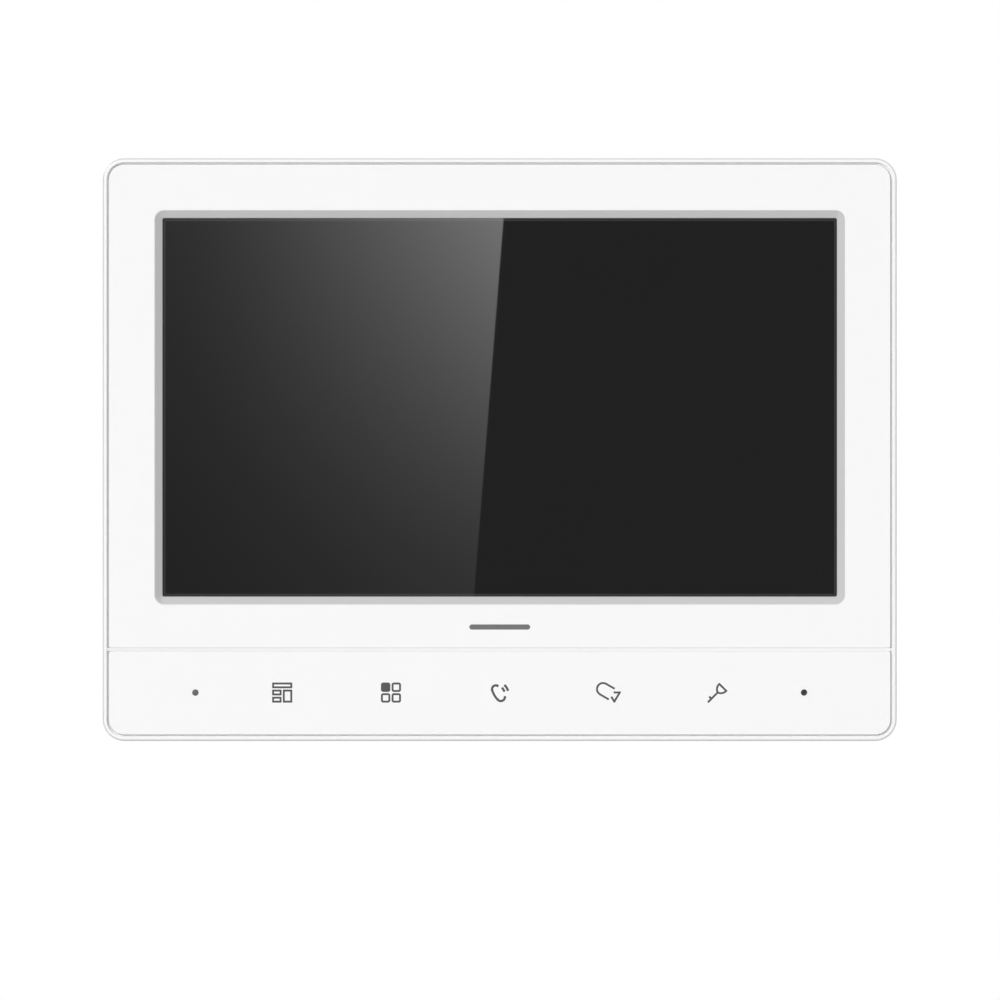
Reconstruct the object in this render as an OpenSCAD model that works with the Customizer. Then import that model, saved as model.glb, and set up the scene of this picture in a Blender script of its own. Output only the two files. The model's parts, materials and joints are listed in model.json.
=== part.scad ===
// Wall-mounted video intercom monitor with a seven-inch screen and a row of touch keys.
// Every piece is drawn lying on its back: x to the right, y up the wall, z out from the wall.
// in_place() then stands it up, so the wall plane is y = 0 and the front looks along -Y.
// The origin is the centre of the wall plate's screw pattern, in the wall plane.

/* [Body] */
// Overall width
body_w = 183; // [182:0.5:230]
// Overall height
body_h = 134.3; // [134:0.1:175]
// Depth from the wall to the front face
body_d = 22; // [21.7:0.1:30]
// Radius of the four outer corners
corner_r = 5; // [4:0.1:8]
// Depth of the front frame's side wall
frame_side = 12; // [11:0.1:13]
// Wall thickness of the front frame
frame_wall = 2; // [1.6:0.1:2.4]
// Wall thickness of the rear housing
rear_wall = 2; // [1.6:0.1:2.4]
// How far the back of the rear housing steps in from its rim
rear_taper = 5; // [3:0.1:6]
// Air gap between the rear housing and the wall
wall_gap = 0.8; // [0.5:0.1:1]

/* [Front face] */
// Thickness of the two front panels
panel_t = 2; // [1.8:0.1:2.4]
// Thickness of the frame's web behind the panels
web_t = 2; // [1.6:0.1:2.4]
// Width of the frame's rim that shows round the panels
rim_w = 1.03; // [0.9:0.01:1.6]
// Width of the groove between the rim and the panels
groove_w = 0.45; // [0.3:0.01:0.8]
// Width of the seam between the two panels
seam_w = 0.8; // [0.6:0.05:1.2]
// Height of the key panel, from the body's bottom edge to the seam
strip_h = 21.1; // [18:0.1:24]

/* [Screen] */
// Width of the picture area
active_w = 154.1; // [128:0.1:156]
// Height of the picture area
active_h = 85.9; // [72:0.1:87]
// Dark ink margin that shows round the picture area
ink_margin = 0.65; // [0.3:0.05:1.5]
// Width of the sloping surround
bevel_w = 1.8; // [1:0.1:3]
// Distance from the body's top edge to the surround
screen_top = 12; // [8:0.1:14]
// How far the window lies below the front face
window_sink = 2; // [1.8:0.1:2.4]
// Thickness of the window
window_t = 1.2; // [0.8:0.1:1.2]
// Distance that the window laps behind the surround and panel
window_lap = 1.95; // [1.2:0.05:3]
// Width of the screen module beyond its picture area, both sides together
lcd_extra_w = 10.9; // [8:0.1:14]
// Height of the screen module beyond its picture area, both sides together
lcd_extra_h = 14.1; // [10:0.1:16]
// Thickness of the screen module
lcd_t = 5; // [4:0.1:5.2]
// Thickness of the gasket between window and screen module
gasket_t = 0.4; // [0.3:0.1:0.6]

/* [Keys] */
// Height of the key row above the body's bottom edge
key_row = 11.2; // [9:0.1:12]
// Distance between neighbouring keys
key_pitch = 25.05; // [20:0.05:30]
// Number of keys, which has to be five for the five symbols
key_count = 5; // [5:2:5]
// Distance of the power light and the microphone from the middle
dot_x = 70.1; // [66:0.1:84]
// Diameter of the light pipe and of the microphone hole
dot_d = 1.5; // [1.2:0.1:2]
// Line width of the symbols
line_w = 0.46; // [0.3:0.01:0.6]
// Depth of the symbols' inlay
inlay_t = 0.2; // [0.1:0.05:0.4]
// Width of the plain mark below the screen
mark_w = 14; // [8:0.5:18]
// Height of the plain mark
mark_h = 1.2; // [0.8:0.1:2]

/* [Wall plate] */
// Width of the wall plate
plate_w = 96; // [92:1:104]
// Height of the wall plate
plate_h = 92; // [92:1:96]
// Thickness of the wall plate
plate_t = 1.2; // [1:0.1:1.6]
// Distance between the wall screws, left to right
screw_dx = 80; // [70:0.5:84]
// Distance between the wall screws, bottom to top
screw_dy = 76; // [74:0.5:80]
// Diameter of the wall screw holes
screw_hole_d = 4.5; // [4:0.1:5]
// Distance between the two side slots, to suit a round wall box
box_dx = 60; // [58:0.1:62]
// Distance between the upper and lower slots, to suit a tall wall box
gang_dy = 83.3; // [82:0.1:84]
// Width of the slots
slot_w = 4.4; // [4:0.1:4.8]
// Length of the slots, end to end
slot_l = 8; // [6:0.1:9]
// Width of the cable window
cable_w = 46; // [40:0.5:47]
// Height of the cable window
cable_h = 34; // [28:0.5:36]
// Distance between the hooks, left to right
hook_dx = 84; // [80:0.5:84]
// Distance between the hooks, bottom to top
hook_dy = 44; // [40:0.5:46]
// Width of a hook
hook_w = 8; // [6:0.5:8]
// Height that the monitor is lifted to clear the hooks
hang_lift = 8; // [6:0.5:8]
// Room for screw heads between the plate and the housing
head_room = 2.8; // [2.4:0.1:3]

/* [Boards] */
// Width of the main board
board_w = 120; // [112:1:124]
// Height of the main board
board_h = 82; // [82:1:86]
// Sideways offset of the main board, away from the loudspeaker
board_x = 10; // [8:0.5:12]
// Thickness of the circuit boards
board_t = 1.6; // [1:0.1:1.6]
// Distance from the wall to the back of the main board
board_z = 9; // [8.6:0.1:9.2]
// Height of the key board
key_board_h = 13; // [11:0.5:13]
// Height of the board spacers behind the web
spacer_h = 2; // [1.8:0.1:3]

/* [Loudspeaker] */
// Diameter of the loudspeaker
speaker_d = 28; // [23:0.5:30]
// Height of the loudspeaker below the middle of the wall plate
speaker_drop = 30; // [26:0.5:34]
// Diameter of the magnet
magnet_d = 16; // [15.6:0.1:18]
// Diameter of the voice coil
coil_d = 12.6; // [12:0.1:12.8]

/* [Fits] */
// Gap between pieces that are assembled together
fit_gap = 0.15; // [0.1:0.01:0.25]
// Gap on each side between a screw and its hole
screw_gap = 0.05; // [0.03:0.01:0.1]
// Gap between pieces that move past each other
run_gap = 0.3; // [0.3:0.05:0.5]

/* [Hidden] */
$fn = 48;
// Small extra length that makes a cut run clean through
cut = 1;

// Front stack, from the face back
panel_z = body_d - panel_t;
web_z = panel_z - web_t;
window_top = body_d - window_sink;
window_z = window_top - window_t;
ink_t = 0.1;
gasket_z = window_z - ink_t - gasket_t;
lcd_z = gasket_z - lcd_t;
tray_t = 0.8;
tray_z = lcd_z - tray_t;
frame_z = body_d - frame_side;
panel_w = body_w - 2 * (rim_w + groove_w);
panel_h = body_h - 2 * (rim_w + groove_w);
panel_r = corner_r - rim_w - groove_w;
seam_y = strip_h - body_h / 2;
row_y = key_row - body_h / 2;
rib_drop = 0.4;
groove_d = 0.9;
ledge_gap = 0.08;

// Screen
view_w = active_w + 2 * ink_margin;
view_h = active_h + 2 * ink_margin;
view_r = 0.5;
surround_w = view_w + 2 * bevel_w;
surround_h = view_h + 2 * bevel_w;
surround_r = 2.2;
surround_lip = 0.8;
surround_land = 0.15;
screen_y = body_h / 2 - screen_top - surround_h / 2;
window_w = surround_w + 2 * window_lap;
window_h = surround_h + 2 * window_lap;
window_r = 2;
lcd_w = active_w + lcd_extra_w;
lcd_h = active_h + lcd_extra_h;
lcd_skin = 0.4;
lcd_glass_t = 1.4;
web_gap = 0.5;
lcd_bottom = screen_y - lcd_h / 2;
mark_y = (screen_y - surround_h / 2 + seam_y) / 2;

// Screws: shank, head width and head height
small_shank = 2.2;
small_head = 4;
small_head_t = 1.2;
case_shank = 2.5;
case_head = 5;
case_head_t = 1.6;
boss_wall = 1.2;

// Fixing points
lcd_boss_d = small_shank + 2 * boss_wall;
lcd_screw_x = lcd_w / 2 + web_gap + 0.6 + lcd_boss_d / 2;
lcd_screw_dy = 70;
case_boss_d = 6.4;
case_screw_x = body_w / 2 - 9;
case_screw_y = 10.1 - body_h / 2;
case_split_z = 8;
key_screw_x = [-2.5, -0.5, 0.5, 2.5] * key_pitch;

// Rear housing
recess_wall = 1.5;
recess_z = plate_t + head_room;
recess_in = recess_z + recess_wall;
recess_gap = 0.6;
recess_w = plate_w + 2 * recess_gap;
recess_h = plate_h + hang_lift + 2 * recess_gap;
recess_y = -hang_lift / 2;
recess_r = 4;
bay_w = 34;
bay_h = 22;
bay_r = 2;
bay_step = 2;
bay_z = recess_z + bay_step;
bay_in = bay_z + recess_wall;
floor_z = wall_gap + rear_wall;
rear_r = 4;
rear_ease = 1;
lip_t = 1.2;
lip_h = 2;
rim_gap = 0.3;
lip_inset = frame_wall + fit_gap;
snap_x = [-50, 0, 50];
snap_w = 8;
snap_h = 4;
snap_bead = 0.5;
post_d = 6;
board_y = 1;
board_hole_in = 4;

// Hooks
hook_z = recess_in + run_gap;
hook_reach = hook_z + plate_t;
hook_rise = hang_lift - 0.8;
hook_side_gap = 0.6;

// Wall sockets for the cables
pin_pitch = 2.5;
pin_w = 0.64;
socket_d = 5.8;
socket_side = 2.4;
socket_wall = 0.8;
socket_floor = 1.2;
socket_z = recess_z - 0.4;
socket_dx = 16;
socket_dy = 10;

// Loudspeaker, which faces the wall
speaker_x = rear_taper + rear_wall + speaker_d / 2 + 2 - body_w / 2;
speaker_y = -speaker_drop;
cloth_t = 0.2;
seal_t = 0.6;
speaker_z = floor_z + cloth_t + seal_t;
speaker_flange_t = 0.8;
speaker_body_t = 3.4;
speaker_back_z = speaker_z + speaker_body_t;
speaker_back_t = 0.6;
speaker_wall = 0.8;
speaker_rim = 1.5;
magnet_z = speaker_z + 2.8;
magnet_t = 4.2;
magnet_gap = 0.5;
magnet_floor = 1.4;
ring_wall = 1;
ring_h = 2.2;
ear_dy = speaker_d / 2 + 4.5;
retainer_t = 1.2;
retainer_d = speaker_d - 4;
tab_x = 12.2;
tab_y = 5;
tab_l = 3.6;
tab_w = 4;
tab_t = 1;
lead_d = 1.4;
lead_sides = 8;
lead_plug = [3.6, 5, 3];
lead_plug_x = board_x - board_w / 2;
lead_plug_y = -12;

// Ribbons: thickness, width and bend
ribbon_t = 0.2;
lcd_ribbon_w = 30;
lcd_ribbon_x = 10;
key_ribbon_w = 12;
key_ribbon_x = 37.5;
ribbon_plug_t = 1.6;
ribbon_plug_d = 4.5;
ribbon_plug_side = 2;
ribbon_in = 0.7;
ribbon_z = board_z + board_t + ribbon_in;
ribbon_bend_y = lcd_bottom - 1.4;
ribbon_top_z = lcd_z + 1;

// Turns a piece that lies on its back so that it hangs on the wall
module in_place() {
    rotate([90, 0, 0]) children();
}

module rounded(w, h, r) {
    square([w - 2 * r, h], center = true);
    square([w, h - 2 * r], center = true);
    for (sx = [-1, 1], sy = [-1, 1])
        translate([sx * (w / 2 - r), sy * (h / 2 - r)]) circle(r = r);
}

// A plate with rounded corners between two heights
module slab(w, h, r, z0, z1) {
    translate([0, 0, z0]) linear_extrude(z1 - z0) rounded(w, h, r);
}

// A plate in the outline of the body, drawn in by a margin
module body_slab(inset, z0, z1) {
    slab(body_w - 2 * inset, body_h - 2 * inset, max(corner_r - inset, 1), z0, z1);
}

module block(x, y, w, h, z0, z1) {
    translate([x - w / 2, y - h / 2, z0]) cube([w, h, z1 - z0]);
}

module rod(x, y, d, z0, z1) {
    translate([x, y, z0]) cylinder(d = d, h = z1 - z0);
}

// A hole with round ends that runs along x
module long_hole(x, y, l, w, z0, z1) {
    for (side = [-1, 1]) rod(x + side * (l - w) / 2, y, w, z0, z1);
    block(x, y, l - w, w, z0, z1);
}

// A screw whose head starts at z and whose shank runs to z_end
module screw(x, y, head_d, head_t, shank_d, z, z_end) {
    up = sign(z_end - z);
    translate([x, y, z]) mirror([0, 0, up > 0 ? 0 : 1]) difference() {
        union() {
            cylinder(d = head_d, h = head_t);
            cylinder(d = shank_d, h = abs(z_end - z));
        }
        for (turn = [0, 90])
            rotate([0, 0, turn]) block(0, 0, head_d * 0.6, head_d * 0.16, -cut, head_t * 0.5);
    }
}

// A line's round ends and joints are a little fuller than the line, so that its sides run into them
joint_fullness = 1.14;

module line2d(a, b, w) {
    d = b - a;
    translate(a) rotate(atan2(d[1], d[0])) translate([0, -w / 2]) square([norm(d), w]);
    for (p = [a, b]) translate(p) circle(d = w * joint_fullness);
}

module polyline2d(points, w) {
    for (i = [0 : len(points) - 2]) line2d(points[i], points[i + 1], w);
}

// Part of a ring between two angles less than 180 degrees apart, with round ends
module arc2d(centre, r, a0, a1, w) {
    reach = 4 * r;
    mid = (a0 + a1) / 2;
    translate(centre) {
        intersection() {
            difference() {
                circle(r = r + w / 2);
                circle(r = r - w / 2);
            }
            polygon([
                [0, 0],
                reach * [cos(a0), sin(a0)],
                reach * [cos(mid), sin(mid)],
                reach * [cos(a1), sin(a1)]
            ]);
        }
        for (a = [a0, a1]) translate(r * [cos(a), sin(a)]) circle(d = w * joint_fullness);
    }
}

module outline2d(x0, y0, x1, y1, r, w) {
    translate([(x0 + x1) / 2, (y0 + y1) / 2]) difference() {
        rounded(x1 - x0, y1 - y0, r);
        rounded(x1 - x0 - 2 * w, y1 - y0 - 2 * w, max(r - w, 0.05));
    }
}

// A flat strip that follows points in the y-z plane
module ribbon(points, w, x) {
    translate([x - w / 2, 0, 0]) rotate([90, 0, 90]) linear_extrude(w) polyline2d(points, ribbon_t);
}

// Symbols -------------------------------------------------------------------------------------

symbol_half = 2.32;
symbol_gap = 0.28;

module message_outline() {
    top_h = 1.34;
    split = symbol_gap / 2;
    low_top = symbol_half - top_h - symbol_gap;
    low_mid = (low_top - symbol_half) / 2;
    outline2d(-symbol_half, symbol_half - top_h, symbol_half, symbol_half, 0.15, line_w);
    outline2d(-symbol_half, low_mid + split, -split, low_top, 0.15, line_w);
    outline2d(-symbol_half, -symbol_half, -split, low_mid - split, 0.15, line_w);
    outline2d(split, -symbol_half, symbol_half, low_top, 0.15, line_w);
}

module menu_outline() {
    split = symbol_gap / 2;
    tile = symbol_half - split;
    tile_r = 0.55;
    translate([-split - tile / 2, split + tile / 2]) rounded(tile, tile, tile_r);
    outline2d(split, split, symbol_half, symbol_half, tile_r, line_w);
    for (x = [-symbol_half, split])
        outline2d(x, -symbol_half, x + tile, -split, tile_r, line_w);
}

module call_outline() {
    ear = [-0.9, 0.78];
    mouth = [0.25, -1];
    ear_r = 0.88;
    mouth_r = 0.95;
    back_centre = [3.455, 2.153];
    back_r = 5.444;
    wave_centre = [-0.6, -0.2];
    w = 1.17 * line_w;
    arc2d(ear, ear_r, 65, 196, w);
    arc2d(back_centre, back_r, 197, 224, w);
    arc2d(mouth, mouth_r, 223, 355, w);
    arc2d(wave_centre, 1.7, 22, 42, w);
    arc2d(wave_centre, 2.57, 19, 44, w);
}

module camera_outline() {
    tilt = -30;
    nose = [-1.25, 0.8];
    nose_r = 1.4;
    translate(nose) rotate(tilt) {
        arc2d([0, 0], nose_r, 90, 180, line_w);
        arc2d([0, 0], nose_r, 180, 270, line_w);
        line2d([0, nose_r], [2.05, nose_r], line_w);
        line2d([0, -nose_r], [2.1, -nose_r], line_w);
    }
    polyline2d([[1.42, 0.03], [2.6, 0.03], [1.33, -2.08], [0.76, -1.15]], line_w);
}

module unlock_outline() {
    neck = [0.1, 0.02];
    bow = [1.44, 0.73];
    bow_r = norm(bow);
    a_neck = 207;
    a_tip = 131;
    tip = bow + bow_r * [cos(a_tip), sin(a_tip)];
    translate(neck) {
        arc2d(bow, bow_r, a_tip, a_neck, line_w);
        arc2d([bow[1], bow[0]], bow_r, 90 - a_neck, 90 - a_tip, line_w);
        line2d(tip, [tip[1], tip[0]], line_w);
    }
    line2d(neck, [-2, -2.1], line_w);
    line2d([-1.7, -1.08], [-1.4, -1.4], line_w);
}

// One key's symbol, as deep as asked, at its place in the row
module symbol_solid(index, z0, z1) {
    x = (index - (key_count - 1) / 2) * key_pitch;
    translate([x, row_y, z0]) linear_extrude(z1 - z0) {
        if (index == 0) message_outline();
        if (index == 1) menu_outline();
        if (index == 2) call_outline();
        if (index == 3) camera_outline();
        if (index == 4) unlock_outline();
    }
}

module inlay(index) {
    color("dimgray") in_place() symbol_solid(index, body_d - inlay_t, body_d);
}

module symbol_message() { inlay(0); }
module symbol_menu() { inlay(1); }
module symbol_call() { inlay(2); }
module symbol_camera() { inlay(3); }
module symbol_unlock() { inlay(4); }

module mark_solid(z0, z1) {
    translate([0, mark_y, z0]) linear_extrude(z1 - z0) rounded(mark_w, mark_h, mark_h * 0.49);
}

module front_mark() {
    color("gray") in_place() mark_solid(body_d - inlay_t, body_d);
}

// Wall plate ----------------------------------------------------------------------------------

hook_places = [for (sx = [-1, 1], sy = [-1, 1]) [sx * hook_dx / 2, sy * hook_dy / 2]];

module wall_plate() {
    slot_turn = 90;
    color("silver") in_place() {
        difference() {
            slab(plate_w, plate_h, 4, 0, plate_t);
            slab(cable_w, cable_h, 3, -cut, plate_t + cut);
            for (sx = [-1, 1], sy = [-1, 1])
                rod(sx * screw_dx / 2, sy * screw_dy / 2, screw_hole_d, -cut, plate_t + cut);
            for (side = [-1, 1]) {
                long_hole(side * box_dx / 2, 0, slot_l, slot_w, -cut, plate_t + cut);
                translate([0, side * gang_dy / 2, 0]) rotate([0, 0, slot_turn])
                    long_hole(0, 0, slot_w + 1.6, slot_w, -cut, plate_t + cut);
            }
            for (p = hook_places)
                translate([p[0], p[1] + plate_t / 2, -cut])
                    translate([-hook_w / 2 - hook_side_gap, 0, 0])
                    cube([hook_w + 2 * hook_side_gap, hook_rise + hook_z - plate_t, plate_t + 2 * cut]);
        }
        for (p = hook_places) {
            block(p[0], p[1], hook_w, plate_t, 0, hook_reach);
            block(p[0], p[1] + hook_rise / 2, hook_w, plate_t + hook_rise, hook_z, hook_reach);
        }
    }
}

// Rear housing --------------------------------------------------------------------------------

board_posts = [
    for (sx = [-1, 1], sy = [-1, 1])
        [board_x + sx * (board_w / 2 - board_hole_in), board_y + sy * (board_h / 2 - board_hole_in)]
];
board_screw_end = recess_in + 0.6;

// Tapered solid between an inset outline at z0 and another at z1, with its lower edge eased
module tapered(inset0, z0, inset1, z1, r0, r1, ease) {
    skin = 0.01;
    w0 = body_w - 2 * inset0;
    h0 = body_h - 2 * inset0;
    hull() {
        slab(w0 - 2 * ease, h0 - 2 * ease, r0, z0, z0 + skin, $fn = 32);
        slab(w0, h0, r0 + ease, z0 + ease * 0.8, z0 + ease * 0.8 + skin, $fn = 32);
        slab(body_w - 2 * inset1, body_h - 2 * inset1, r1, z1 - skin, z1, $fn = 32);
    }
}

// Each cable socket's column, row and number of pins
sockets = [[-1, 1, 4], [1, 1, 4], [-1, -1, 4], [1, -1, 2]];

function socket_w(pins) = pins * pin_pitch + socket_side;

module rear_vents() {
    vent_w = 1.8;
    vent_pitch = 4;
    vent_in = 3;
    vent_deep = 10;
    vent_z0 = frame_z - 6;
    vent_z1 = frame_z - 2.5;
    vent_half = 8;
    for (side = [-1, 1], i = [-vent_half : vent_half])
        block(i * vent_pitch, side * (body_h / 2 - vent_in), vent_w, vent_deep, vent_z0, vent_z1);
}

// Slots that fill a circle; their pitch follows its radius, so the outermost always has a length
module sound_slots() {
    slot_half = 3;
    hole_w = 1.6;
    r = speaker_d / 2 - 3;
    slot_pitch = 0.291 * r;
    for (i = [-slot_half : slot_half])
        long_hole(speaker_x, speaker_y + i * slot_pitch,
            2 * sqrt(pow(r, 2) - pow(i * slot_pitch, 2)) + hole_w, hole_w, 0, floor_z + 0.5);
}

module rear_housing() {
    boss_top = case_split_z - fit_gap;
    color("gainsboro") in_place() difference() {
        union() {
            difference() {
                tapered(rear_taper, wall_gap, rim_gap, frame_z, rear_r, corner_r - rim_gap, rear_ease);
                tapered(rear_taper + rear_wall, floor_z, lip_inset + lip_t, frame_z + cut,
                    rear_r - rear_wall / 2, corner_r - lip_inset - lip_t, rear_ease / 2);
            }
            difference() {
                body_slab(lip_inset, frame_z - 0.6, frame_z + lip_h);
                body_slab(lip_inset + lip_t, frame_z - cut, frame_z + lip_h + cut);
            }
            for (x = snap_x) {
                block(x, body_h / 2 - lip_inset - lip_t / 2, snap_w, lip_t,
                    frame_z, frame_z + lip_h + snap_h);
                block(x, body_h / 2 - lip_inset, snap_w, 2 * snap_bead,
                    frame_z + lip_h + snap_h - 2 * snap_bead, frame_z + lip_h + snap_h);
            }
            translate([0, recess_y, 0])
                slab(recess_w + 2 * recess_wall, recess_h + 2 * recess_wall, recess_r + recess_wall,
                    wall_gap, recess_in);
            slab(bay_w + 2 * recess_wall, bay_h + 2 * recess_wall, bay_r + recess_wall,
                recess_z, bay_in);
            for (p = board_posts) rod(p[0], p[1], post_d, wall_gap + 1, board_z);
            for (side = [-1, 1]) {
                rod(side * case_screw_x, case_screw_y, case_boss_d + 1, wall_gap + 1, boss_top);
                rod(speaker_x, speaker_y + side * ear_dy, 5, wall_gap + 1, speaker_back_z);
            }
            rod(speaker_x, speaker_y, speaker_d + 2 * (fit_gap + ring_wall),
                wall_gap + 1, floor_z + ring_h);
        }
        translate([0, recess_y, 0]) slab(recess_w, recess_h, recess_r, 0, recess_z);
        slab(bay_w, bay_h, bay_r, recess_z - cut, bay_z);
        rod(speaker_x, speaker_y, speaker_d + 2 * fit_gap, floor_z, floor_z + ring_h + cut);
        socket_windows();
        hook_slots();
        sound_slots();
        rear_vents();
        for (p = board_posts)
            rod(p[0], p[1], small_shank + 2 * screw_gap, board_screw_end - 0.3, board_z + cut);
        for (side = [-1, 1]) {
            rod(side * case_screw_x, case_screw_y, case_head + 2 * fit_gap,
                0, wall_gap + 0.2 + case_head_t);
            rod(side * case_screw_x, case_screw_y, case_shank + 2 * screw_gap, 0, boss_top + cut);
            rod(speaker_x, speaker_y + side * ear_dy, small_shank + 2 * screw_gap,
                wall_gap + 2, speaker_back_z + cut);
        }
    }
}

module socket_windows() {
    for (p = sockets)
        block(p[0] * socket_dx / 2, p[1] * socket_dy / 2,
            socket_w(p[2]) + 2 * run_gap, socket_d + 2 * run_gap, bay_z - cut, bay_in + cut);
}

module hook_slots() {
    low = plate_t / 2 + hang_lift + 0.5;
    high = plate_t / 2 + run_gap;
    for (p = hook_places)
        block(p[0], p[1] + (high - low) / 2, hook_w + 2 * hook_side_gap, high + low,
            recess_z - cut, recess_in + cut);
}

module housing_screws() {
    color("silver") in_place() for (side = [-1, 1])
        screw(side * case_screw_x, case_screw_y, case_head, case_head_t, case_shank,
            wall_gap + 0.2, web_z - 4);
}

module rating_label() {
    label_w = 26;
    label_h = 38;
    label_t = 0.1;
    label_x = (recess_w / 2 + recess_wall + body_w / 2 - rear_taper) / 2;
    color("white") in_place() translate([label_x, 8, 0])
        slab(label_w, label_h, 1, wall_gap - label_t, wall_gap);
}

// Front frame and panels ----------------------------------------------------------------------

touch_hole_d = 7;
pad_d = 6.2;
lcd_screw_places = [
    for (sx = [-1, 1], sy = [-1, 1]) [sx * lcd_screw_x, screen_y + sy * lcd_screw_dy / 2]
];

module front_frame() {
    notch_gap = 0.2;
    snap_top = frame_z + lip_h + snap_h;
    color("whitesmoke") in_place() {
        difference() {
            union() {
                difference() {
                    body_slab(0, frame_z, body_d);
                    body_slab(rim_w, body_d - groove_d, body_d + cut);
                    body_slab(rim_w + groove_w - ledge_gap, panel_z, body_d);
                    body_slab(frame_wall, frame_z - cut, web_z);
                }
                for (p = lcd_screw_places) rod(p[0], p[1], lcd_boss_d, lcd_z, web_z + web_t / 2);
                for (side = [-1, 1])
                    rod(side * case_screw_x, case_screw_y, case_boss_d, case_split_z, web_z + web_t / 2);
                for (x = key_screw_x) rod(x, row_y, 5, web_z - spacer_h, web_z + web_t / 2);
                seam_rib();
            }
            translate([0, screen_y, 0])
                slab(lcd_w + 2 * web_gap, lcd_h + 2 * web_gap, 1, web_z - cut, panel_z + cut);
            for (x = snap_x)
                block(x, body_h / 2 - frame_wall, snap_w + 2 * notch_gap, 2 * (snap_bead + notch_gap),
                    snap_top - 2 * snap_bead - notch_gap, snap_top + notch_gap);
            for (p = lcd_screw_places)
                rod(p[0], p[1], small_shank + 2 * screw_gap, lcd_z - cut, web_z - 0.5);
            for (side = [-1, 1])
                rod(side * case_screw_x, case_screw_y, case_shank + 2 * screw_gap,
                    case_split_z - cut, web_z - 3.5);
            for (x = key_screw_x)
                rod(x, row_y, small_shank + 2 * screw_gap, web_z - spacer_h - cut, panel_z - 0.4);
            for (i = [-2 : 2]) rod(i * key_pitch, row_y, touch_hole_d, web_z - cut, panel_z + cut);
            rod(-dot_x, row_y, dot_d + 2 * fit_gap, web_z - cut, panel_z + cut);
            rod(dot_x, row_y, dot_d, web_z - cut, panel_z + cut);
            rod(dot_x, row_y, mesh_d + 2 * fit_gap, panel_z - mesh_t, panel_z + cut);
        }
    }
}

// Low rib in the seam between the panels; it crosses the groove and joins the rim
module seam_rib() {
    block(0, seam_y, body_w - rim_w, seam_w - ledge_gap, panel_z - 0.5, body_d - rib_drop);
}

module panel_outline() {
    rounded(panel_w, panel_h, panel_r);
}

module screen_panel() {
    low = seam_y + seam_w / 2;
    color("white") in_place() difference() {
        translate([0, 0, panel_z]) linear_extrude(panel_t) intersection() {
            panel_outline();
            translate([-body_w, low]) square([2 * body_w, body_h]);
        }
        translate([0, screen_y, 0])
            slab(surround_w, surround_h, surround_r, panel_z - cut, body_d + cut);
        mark_solid(body_d - inlay_t, body_d + cut);
    }
}

module key_panel() {
    high = seam_y - seam_w / 2;
    color("white") in_place() difference() {
        translate([0, 0, panel_z]) linear_extrude(panel_t) intersection() {
            panel_outline();
            translate([-body_w, high - body_h]) square([2 * body_w, body_h]);
        }
        for (side = [-1, 1]) rod(side * dot_x, row_y, dot_d, panel_z - cut, body_d + cut);
        for (i = [0 : key_count - 1]) symbol_solid(i, body_d - inlay_t, body_d + cut);
    }
}

module screen_surround() {
    skin = 0.01;
    low = window_top + surround_lip;
    color("silver") in_place() translate([0, screen_y, 0]) difference() {
        slab(surround_w, surround_h, surround_r, window_top, body_d);
        slab(view_w, view_h, view_r, window_top - cut, low + skin);
        hull() {
            slab(view_w, view_h, view_r, low, low + skin, $fn = 32);
            slab(surround_w - 2 * surround_land, surround_h - 2 * surround_land,
                surround_r - surround_land, body_d, body_d + skin, $fn = 32);
        }
    }
}

// Screen --------------------------------------------------------------------------------------

module screen_slab(w, h, r, z0, z1) {
    translate([0, screen_y, 0]) slab(w, h, r, z0, z1);
}

module screen_window() {
    color([0.1, 0.1, 0.11, 0.6]) in_place() screen_slab(window_w, window_h, window_r, window_z, window_top);
}

module window_border() {
    color("black") in_place() difference() {
        screen_slab(window_w, window_h, window_r, window_z - ink_t, window_z);
        screen_slab(active_w, active_h, 0.3, window_z - ink_t - cut, window_z + cut);
    }
}

module lcd_gasket() {
    margin = 1;
    band = 2;
    color("dimgray") in_place() difference() {
        screen_slab(window_w - margin, window_h - margin, 1.5, gasket_z, window_z - ink_t);
        screen_slab(window_w - margin - 2 * band, window_h - margin - 2 * band, 1,
            gasket_z - cut, window_z + cut);
    }
}

module lcd_frame() {
    color("lightgray") in_place() difference() {
        screen_slab(lcd_w, lcd_h, 1, lcd_z, gasket_z);
        screen_slab(lcd_w - 2 * lcd_skin, lcd_h - 2 * lcd_skin, 0.6, lcd_z - cut, gasket_z - lcd_skin);
        screen_slab(active_w + 3, active_h + 3, 0.5, lcd_z, gasket_z + cut);
    }
}

lcd_in_w = lcd_w - 2 * lcd_skin - 2 * fit_gap;
lcd_in_h = lcd_h - 2 * lcd_skin - 2 * fit_gap;
glass_z = gasket_z - lcd_skin - lcd_glass_t;
led_strip_h = 1;
led_strip_w = active_w;

module lcd_glass() {
    color("black") in_place() screen_slab(lcd_in_w, lcd_in_h, 0.5, glass_z, gasket_z - lcd_skin);
}

module lcd_backlight() {
    color("white") in_place() difference() {
        screen_slab(lcd_in_w, lcd_in_h, 0.5, lcd_z, glass_z);
        block(0, lcd_bottom + lcd_skin + fit_gap, led_strip_w + 2 * fit_gap,
            2 * (led_strip_h + 1.2), lcd_z + 0.6, glass_z - 0.4);
    }
}

module backlight_leds() {
    strip_y = lcd_bottom + lcd_skin + fit_gap + led_strip_h / 2;
    led_count = 9;
    led_pitch = led_strip_w / led_count;
    color("gold") in_place() {
        block(0, strip_y, led_strip_w, led_strip_h, lcd_z + 0.7, glass_z - 0.5);
        for (i = [1 : led_count])
            block((i - (led_count + 1) / 2) * led_pitch, strip_y + led_strip_h, 3.2, led_strip_h,
                lcd_z + 0.9, glass_z - 0.7);
    }
}

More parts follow.
